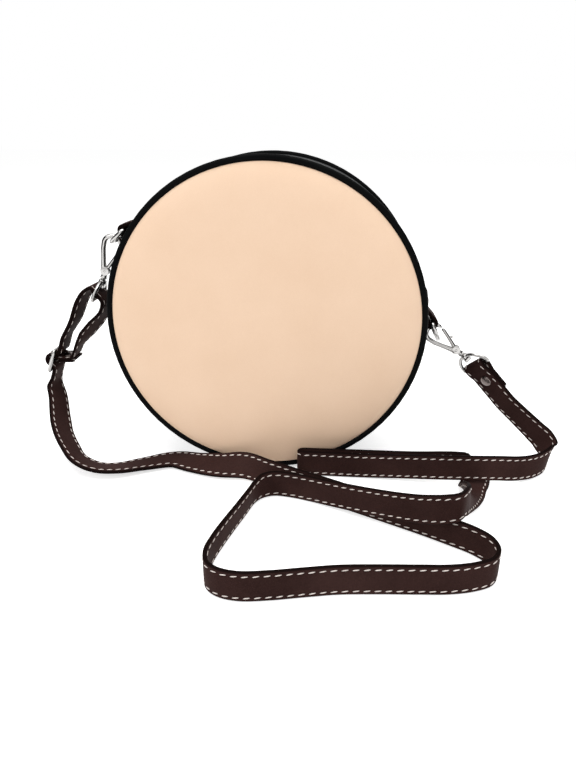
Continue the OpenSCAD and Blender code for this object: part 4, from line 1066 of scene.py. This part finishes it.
fold_end = RING_BAR["right"] + FOLD_L * FOLD_DIR - FOLD_MID * FOLD_OUT
floor_route = [(fold_end, ACROSS["right"])] + from_shares(riser_shares, np.zeros(3), BAG_D)
floor_route += from_shares(lying_shares, np.array([0, -HALF_DEPTH, 0]), np.array([BAG_D, BAG_D, STRAP_W]))
floor_route += from_shares(drop_shares, np.zeros(3), BAG_D)
floor_route += [(adjuster_spot(-1.5 * WEAVE_HALF, -OUTER_WRAP), np.array([0.12, 0.99, -0.04])),
                (adjuster_spot(-WEAVE_HALF, -OUTER_WRAP), BACK)]
band_route = [(adjuster_spot(share * WEAVE_HALF, -OUTER_WRAP), AWAY) for share in (1, 1.3)]
band_route += from_shares(up_shares, RING_BAR["left"], ADJUST_L)
band_route += [(RING_BAR["left"] + FOLD_WRAP * np.array(over), AWAY)
               for over in ([0.25, 0, 1.5], [0.95, 0, 0.7])]
band_route += from_shares(down_shares, RING_BAR["left"], ADJUST_L)
band_route += [(adjuster_spot(*tail_in(k)), AWAY) for k in (1.5, 0)]
TOP_ROW = len(up_shares) + 3


def through(route, step=2.2):
    """A smooth curve through the route, as dense places and ways across, and where each row fell."""
    places = [np.asarray(place, float) for place, _ in route]
    ways = [np.asarray(way, float) for _, way in route]
    last = len(places) - 1
    knots = [sqrt(np.linalg.norm(places[i + 1] - places[i])) for i in range(last)]
    chord = [(places[i + 1] - places[i]) / knots[i] for i in range(last)]
    slopes = [chord[0]]
    for i in range(1, last):
        slopes.append(chord[i - 1] + chord[i] - (places[i + 1] - places[i - 1]) / (knots[i - 1] + knots[i]))
    slopes.append(chord[-1])
    dots, across, marks = [], [], []
    for i in range(last):
        marks.append(len(dots))
        count = max(3, int(ceil(knots[i] ** 2 / step)))
        for s in np.arange(count) / count:
            a, b = 2 * s ** 3 - 3 * s ** 2 + 1, s ** 3 - 2 * s ** 2 + s
            dots.append(a * places[i] + b * knots[i] * slopes[i] + (1 - a) * places[i + 1]
                        + (s ** 3 - s ** 2) * knots[i] * slopes[i + 1])
            across.append((1 - s) * ways[i] + s * ways[i + 1])
    dots.append(places[-1])
    across.append(ways[-1])
    return np.array(dots), np.array(across), marks + [len(dots) - 1]


def length_of(places):
    return float(np.linalg.norm(np.diff(places, axis=0), axis=1).sum())


floor_places, floor_across, floor_marks = through(floor_route)
band_places, band_across, band_marks = through(band_route, 1.6)
print("strap on the floor", round(length_of(floor_places)), "mm")

# %% [markdown]
# ## The strap itself
# Its section is two skins glued and sewn, so each face dips a little along the stitching, swells
# between, and the cut edges are rounded, dyed dark and polished. That section is carried along
# the route in pieces.

# %% Strap pieces with their stitching
EDGE_ROW, SECTION_HALF = 6.1, 8.25
STITCH_W, STITCH_H = 0.66, 0.5
lengths = {}


def strap_outline(thick):
    """The section across the strap, SECTION_HALF to each side, and how worn each point of it is."""
    half = thick / 2
    face = [(-7.75, half), (-7.3, half + 0.03), (-6.75, half), (-6.35, half - 0.1), (-5.85, half - 0.1),
            (-5.4, half), (-4.0, half + 0.05), (0.0, half + 0.08), (4.0, half + 0.05), (5.4, half),
            (5.85, half - 0.1), (6.35, half - 0.1), (6.75, half), (7.3, half + 0.03), (7.75, half)]
    edge = [(8.1, half * 0.72), (SECTION_HALF, half * 0.3), (SECTION_HALF, -half * 0.3), (8.1, -half * 0.72)]
    outline = face + edge + [(w, -h) for w, h in face[::-1]] + [(-w, -h) for w, h in edge]
    return outline, [1.0 if abs(w) > 7.9 else 0.55 if abs(w) > 7.5 else 0.0 for w, _ in outline]


def strap(name, places, across, body, replaced, bend=None, thick=(STRAP_T, STRAP_T)):
    """Carries the strap's section along places, from one thickness to another, and sews both faces."""
    rows, marks, middle, count = [], [], [], len(places)
    for i, c in enumerate(places):
        d = unit(places[min(i + 1, count - 1)] - places[max(i - 1, 0)])
        w = square(across[i], d)
        n = np.cross(d, w)
        t = thick[0] + (thick[1] - thick[0]) * i / (count - 1)
        outline, worn = strap_outline(t)
        rows.append([c + h * n + q * w for q, h in outline])
        marks.append(worn)
        middle.append((c, n, w, t))
    lengths[name] = round(length_of(places), 1)
    keep_piece(skin(name, rows, marks=marks, crisp=55), body, strap_skin, replaced, bend)
    lines = [[c + f * (t / 2 - 0.02) * n + s * EDGE_ROW * w for c, n, w, t in middle]
             for f in (-1, 1) for s in (-1, 1)]
    outs = [[f * n for _, n, _, _ in middle] for f in (-1, 1) for _ in (-1, 1)]
    stitches = row_of(name + "_stitches", lines, outs, stitch_tree, thread, pitch=5.1, length=3.5,
                      width=STITCH_W, height=STITCH_H, slant=0.14)
    keep_piece(stitches, body, thread, (), bend)


def from_plane(at, x, y, line, across):
    return np.array([at + u * x + v * y for u, v in line]), np.array([across] * len(line))


fold_line = [(FOLD_L, -FOLD_MID), (20, -FOLD_MID), (16, -FOLD_MID), (11.5, -FOLD_MID), (7.6, -FOLD_MID),
             (5.6, -1.6), (3.3, -2.38)]
fold_line += [(2.62 * cos(radians(a)), 2.62 * sin(radians(a))) for a in range(-90, -271, -15)]
fold_line += [(3.3, 2.38), (5.6, 1.6), (7.6, FOLD_MID), (11.5, FOLD_MID), (16, FOLD_MID), (20, FOLD_MID)]
fold_places, fold_across = from_plane(RING_BAR["right"], FOLD_DIR, FOLD_OUT, fold_line, ACROSS["right"])
strap("strap_fold_right", fold_places, fold_across, "bag", ("strap_end_right",))

laid_nodes = ("riser", "side_turn", "upper_run", "hairpin", "back_run", "underpass", "rise", "middle_run",
              "inner_corner", "left_strand", "left_corner", "front_band", "right_loop", "lower_run", "twist",
              "floor_curve")
drop_from = floor_marks[DROP_ROW]
strap("strap_laid", floor_places[:drop_from + 1], floor_across[:drop_from + 1], "bag",
      ["strap_" + node for node in laid_nodes])
strap("strap_drop_left", floor_places[drop_from:], floor_across[drop_from:], "bag", ("strap_drop",),
      ("bag", "adjuster", tuple(floor_places[drop_from] * MM), tuple(floor_places[-1] * MM)))
print("strap so far", lengths)

# %% The weave through the adjuster, the band over the ring and the riveted tail
cross_angle = degrees(asin((OUTER_WRAP + MIDDLE_WRAP) / BAR_GAP))


def bow(u, r, start, end, count):
    return [(u + r * cos(radians(a)), r * sin(radians(a))) for a in np.linspace(start, end, count)]


weave_line = [(-WEAVE_HALF, -OUTER_WRAP), (-10.2, -OUTER_WRAP)]
weave_line += bow(-BAR_GAP, OUTER_WRAP, -90, cross_angle - 90, 6)
weave_line += bow(0, MIDDLE_WRAP, 90 + cross_angle, 90 - cross_angle, 11)
weave_line += bow(BAR_GAP, OUTER_WRAP, -90 - cross_angle, -90, 6)
weave_line += [(10.2, -OUTER_WRAP), (WEAVE_HALF, -OUTER_WRAP)]
weave_places, weave_across = from_plane(ADJUSTER_MID, ALONG, OUT, weave_line, BACK)
strap("strap_weave_left", weave_places, weave_across, "adjuster", ("strap_weave",))

top = band_marks[TOP_ROW]
band_start, band_top, band_end = (tuple(band_places[k] * MM) for k in (0, top, -1))
strap("strap_band_rising", band_places[:top + 1], band_across[:top + 1], "bag", ("strap_band_up",),
      ("adjuster", "bag", band_start, band_top))
strap("strap_band_falling", band_places[top:], band_across[top:], "bag", ("strap_band_down",),
      ("bag", "adjuster", band_top, band_end), (STRAP_T, TAIL_T))

tail_line = [tail_in(0), tail_in(-1)] + [tail_point(u, TAIL_HALF) for u in (11.5, 8, 4.4)]
tail_line += [tail_point(2.4, 1.58)]
tail_line += [TAIL_WRAP * (cos(radians(a)) * TAIL_V - sin(radians(a)) * TAIL_U) for a in range(0, 181, 15)]
tail_line += [tail_point(2.4, -1.58)] + [tail_point(u, -TAIL_HALF) for u in (4.4, 8, 11, 13.6)]
tail_places, tail_across = from_plane(ADJUSTER_MID, ALONG, OUT, tail_line, AWAY)
strap("strap_tail_left", tail_places, tail_across, "adjuster", ("strap_tail",), thick=(TAIL_T, TAIL_T))
print("strap", round(sum(lengths.values())), "mm", lengths)

# %% [markdown]
# ## Adjuster
# The adjuster is a rectangle of wire with a bar across its middle. The strap is woven over the
# bar, and the tail is riveted round it.

# %% Adjuster frame
FRAME_HALF = STRAP_W / 2 + 1.1 + 0.6
FRAME_WIRE_R, BAR_WIRE_R, FRAME_BEND = 1.08, 0.98, 1.3


def frame_corner(u_side, w_side):
    return [(u_side * (BAR_GAP - FRAME_BEND + FRAME_BEND * cos(radians(t))),
             w_side * (FRAME_HALF - FRAME_BEND + FRAME_BEND * sin(radians(t)))) for t in (0, 30, 60, 90)]


bar_line = [adjuster_spot(0, 0, w) for w in np.linspace(-FRAME_HALF, FRAME_HALF, 9)]
frame_line = frame_corner(1, 1) + frame_corner(-1, 1)[::-1] + frame_corner(-1, -1) + frame_corner(1, -1)[::-1]
frame_wires = [tube("bar", bar_line, BAR_WIRE_R, OUT),
               tube("frame", [adjuster_spot(u, 0, w) for u, w in frame_line], FRAME_WIRE_R, OUT, closed=True)]
keep_piece(joined("adjuster_frame", frame_wires), "adjuster", nickel, ("adjuster_slider",))
print("adjuster", 2 * BAR_GAP, "by", 2 * FRAME_HALF, "mm at", ADJUSTER_MID.round(1))

# %% [markdown]
# ## Side tabs
# Each tab is one strip of the same brown leather, laid on the gusset, led round the D-ring's bar
# and back over itself, riveted through and sewn along both sides and its end. The end is cut round.

# %% Tabs with stitching
TAB_LOW, TAB_HIGH, TAB_LIFT, TAB_WRAP, TAB_TURN = 94.15, 96.55, 70.7, 2.65, 14.5
TAB_ROUNDING = (0.86, 0.955, 0.99)
TAB_ROW, TAB_ROW_H = 7.15, 1.07


def polar(r, angle):
    return np.array([r * sin(radians(angle)), r * cos(radians(angle))])


def tab(side):
    sign = -1 if side == "left" else 1

    def on_tab(p, across=0.0):
        return on_bag(sign * p[0], p[1], 0) + np.array([0, across, 0])

    line = [polar(TAB_LOW, a) for a in np.arange(62.5, 69.8, 1.2)] + [polar(TAB_LOW + 0.12, TAB_LIFT)]
    for a in np.linspace(200, 398, 15):
        way = np.array([cos(radians(TAB_TURN + a)), sin(radians(TAB_TURN + a))])
        line.append(polar(LUG_R, TAB_ANGLE) + TAB_WRAP * way)
    line += [polar(TAB_HIGH + 0.12, TAB_LIFT)] + [polar(TAB_HIGH, a) for a in np.arange(69.5, 62.4, -1.2)]
    line = np.array(line)
    outline, worn = strap_outline(STRAP_T)
    rows, marks, middle = [], [], []
    for i, p in enumerate(line):
        d = unit(line[min(i + 1, len(line) - 1)] - line[max(i - 1, 0)])
        n = np.array([-d[1], d[0]])
        end = min(i, len(line) - 1 - i)
        shrink = TAB_ROUNDING[end] if end < len(TAB_ROUNDING) else 1.0
        rows.append([on_tab(p + h * n, q * (TAB_W / 2) / SECTION_HALF * shrink) for q, h in outline])
        marks.append([max(m, 1.0 if end == 0 else 0) for m in worn])
        middle.append((p, n, shrink))
    keep_piece(skin("tab_leather_" + side, rows, marks=marks, crisp=55), "bag", strap_skin, ("tab_" + side,))
    upper = middle[-8:-1]
    lines = [[on_tab(p + TAB_ROW_H * n, s * TAB_ROW * k) for p, n, k in upper] for s in (-1, 1)]
    outs = [[on_tab(p + n) - on_tab(p) for p, n, _ in upper] for _ in (-1, 1)]
    p, n, _ = middle[-2]
    lines.append([on_tab(p + TAB_ROW_H * n, q) for q in np.linspace(-6.9, 6.9, 9)])
    outs.append([on_tab(p + n) - on_tab(p)] * 9)
    stitches = row_of("tab_stitches_" + side, lines, outs, stitch_tree, thread, pitch=4.3, length=3.0,
                      width=STITCH_W, height=STITCH_H, slant=0.12)
    keep_piece(stitches, "bag", thread)


tab("left")
tab("right")
print("tabs", [piece.name for piece in made_pieces if piece.name.startswith("tab_leather")])

# %% [markdown]
# ## Rivets
# Each rivet is a turned cap over a shank: a low dome with a thin rim that sinks into the leather.

# %% Rivets
CAP_R, BACK_CAP_R, SHANK_R = 3.5, 3.1, 1.45
TAB_RIVET_ANGLE, TAB_RIVET_IN, TAB_RIVET_OUT = 68.5, 90.4, 97.7


def cap(at, axis):
    dome = [(CAP_R * q, 0.32 + 1.0 * (1 - q ** 2.2)) for q in (0.02, 0.2, 0.4, 0.6, 0.78, 0.9, 0.97)]
    rim = [(CAP_R, 0.22), (CAP_R, 0.0), (CAP_R * 0.86, -0.15), (0.02, -0.15)]
    return lathe("cap", dome + rim, at, axis)


def back_cap(at, axis):
    profile = [(0.02, 0.6), (BACK_CAP_R - 0.3, 0.6), (BACK_CAP_R, 0.4), (BACK_CAP_R, 0.0), (0.02, 0.0)]
    return lathe("back", profile, at, axis)


def rivet(name, low, high, body, replaced=()):
    height = np.linalg.norm(high - low)
    axis = unit(high - low)
    shank = lathe("shank", [(0.02, 0), (SHANK_R, 0), (SHANK_R, height), (0.02, height)], low, axis, 20)
    keep_piece(joined(name, [shank, cap(high, axis), back_cap(low, -axis)]), body, cap_metal, replaced)


rivet("tab_rivet_right", around(TAB_RIVET_IN, TAB_RIVET_ANGLE, 0), around(TAB_RIVET_OUT, TAB_RIVET_ANGLE, 0),
      "bag", ("tab_rivets",))
rivet("tab_rivet_left", around(TAB_RIVET_IN, -TAB_RIVET_ANGLE, 0), around(TAB_RIVET_OUT, -TAB_RIVET_ANGLE, 0),
      "bag")
fold_hole = RING_BAR["right"] + FOLD_RIVET * FOLD_DIR
rivet("strap_rivet_fold", fold_hole + 2.35 * FOLD_OUT, fold_hole - 2.35 * FOLD_OUT, "bag",
      ("strap_rivet_right",))
tail_hole = adjuster_spot(*tail_point(TAIL_RIVET, 0))
through_tail = TAIL_V[0] * ALONG + TAIL_V[1] * OUT
rivet("strap_rivet_tail", tail_hole - 1.5 * through_tail, tail_hole + 1.5 * through_tail, "adjuster",
      ("strap_rivet_left",))
print("rivets", [piece.name for piece in made_pieces if "rivet" in piece.name])

# %% [markdown]
# ## Seams of the bag
# Dark thread holds the gusset's strips: one row beside each zip edge. It hardly shows, but light
# catches it from above.

# %% Gusset stitching
SEAM_Z, SEAM_LINE_R = 7.2, 93.02
for word, side, bend in (("back", -1, None), ("front", 1, bend_up)):
    line, out = arc_line(SEAM_LINE_R, side * SEAM_Z, -ZIP_ANGLE, ZIP_ANGLE)
    seam = row_of("zip_seam_" + word, [line], [out], stitch_tree, dark_thread, pitch=4.2, length=3.0,
                  width=0.75, height=STITCH_H, slant=0.12)
    keep_piece(seam, "bag", dark_thread, (), bend)
print("pieces", len(made_pieces), "faces", sum(len(piece.data.polygons) for piece in made_pieces))
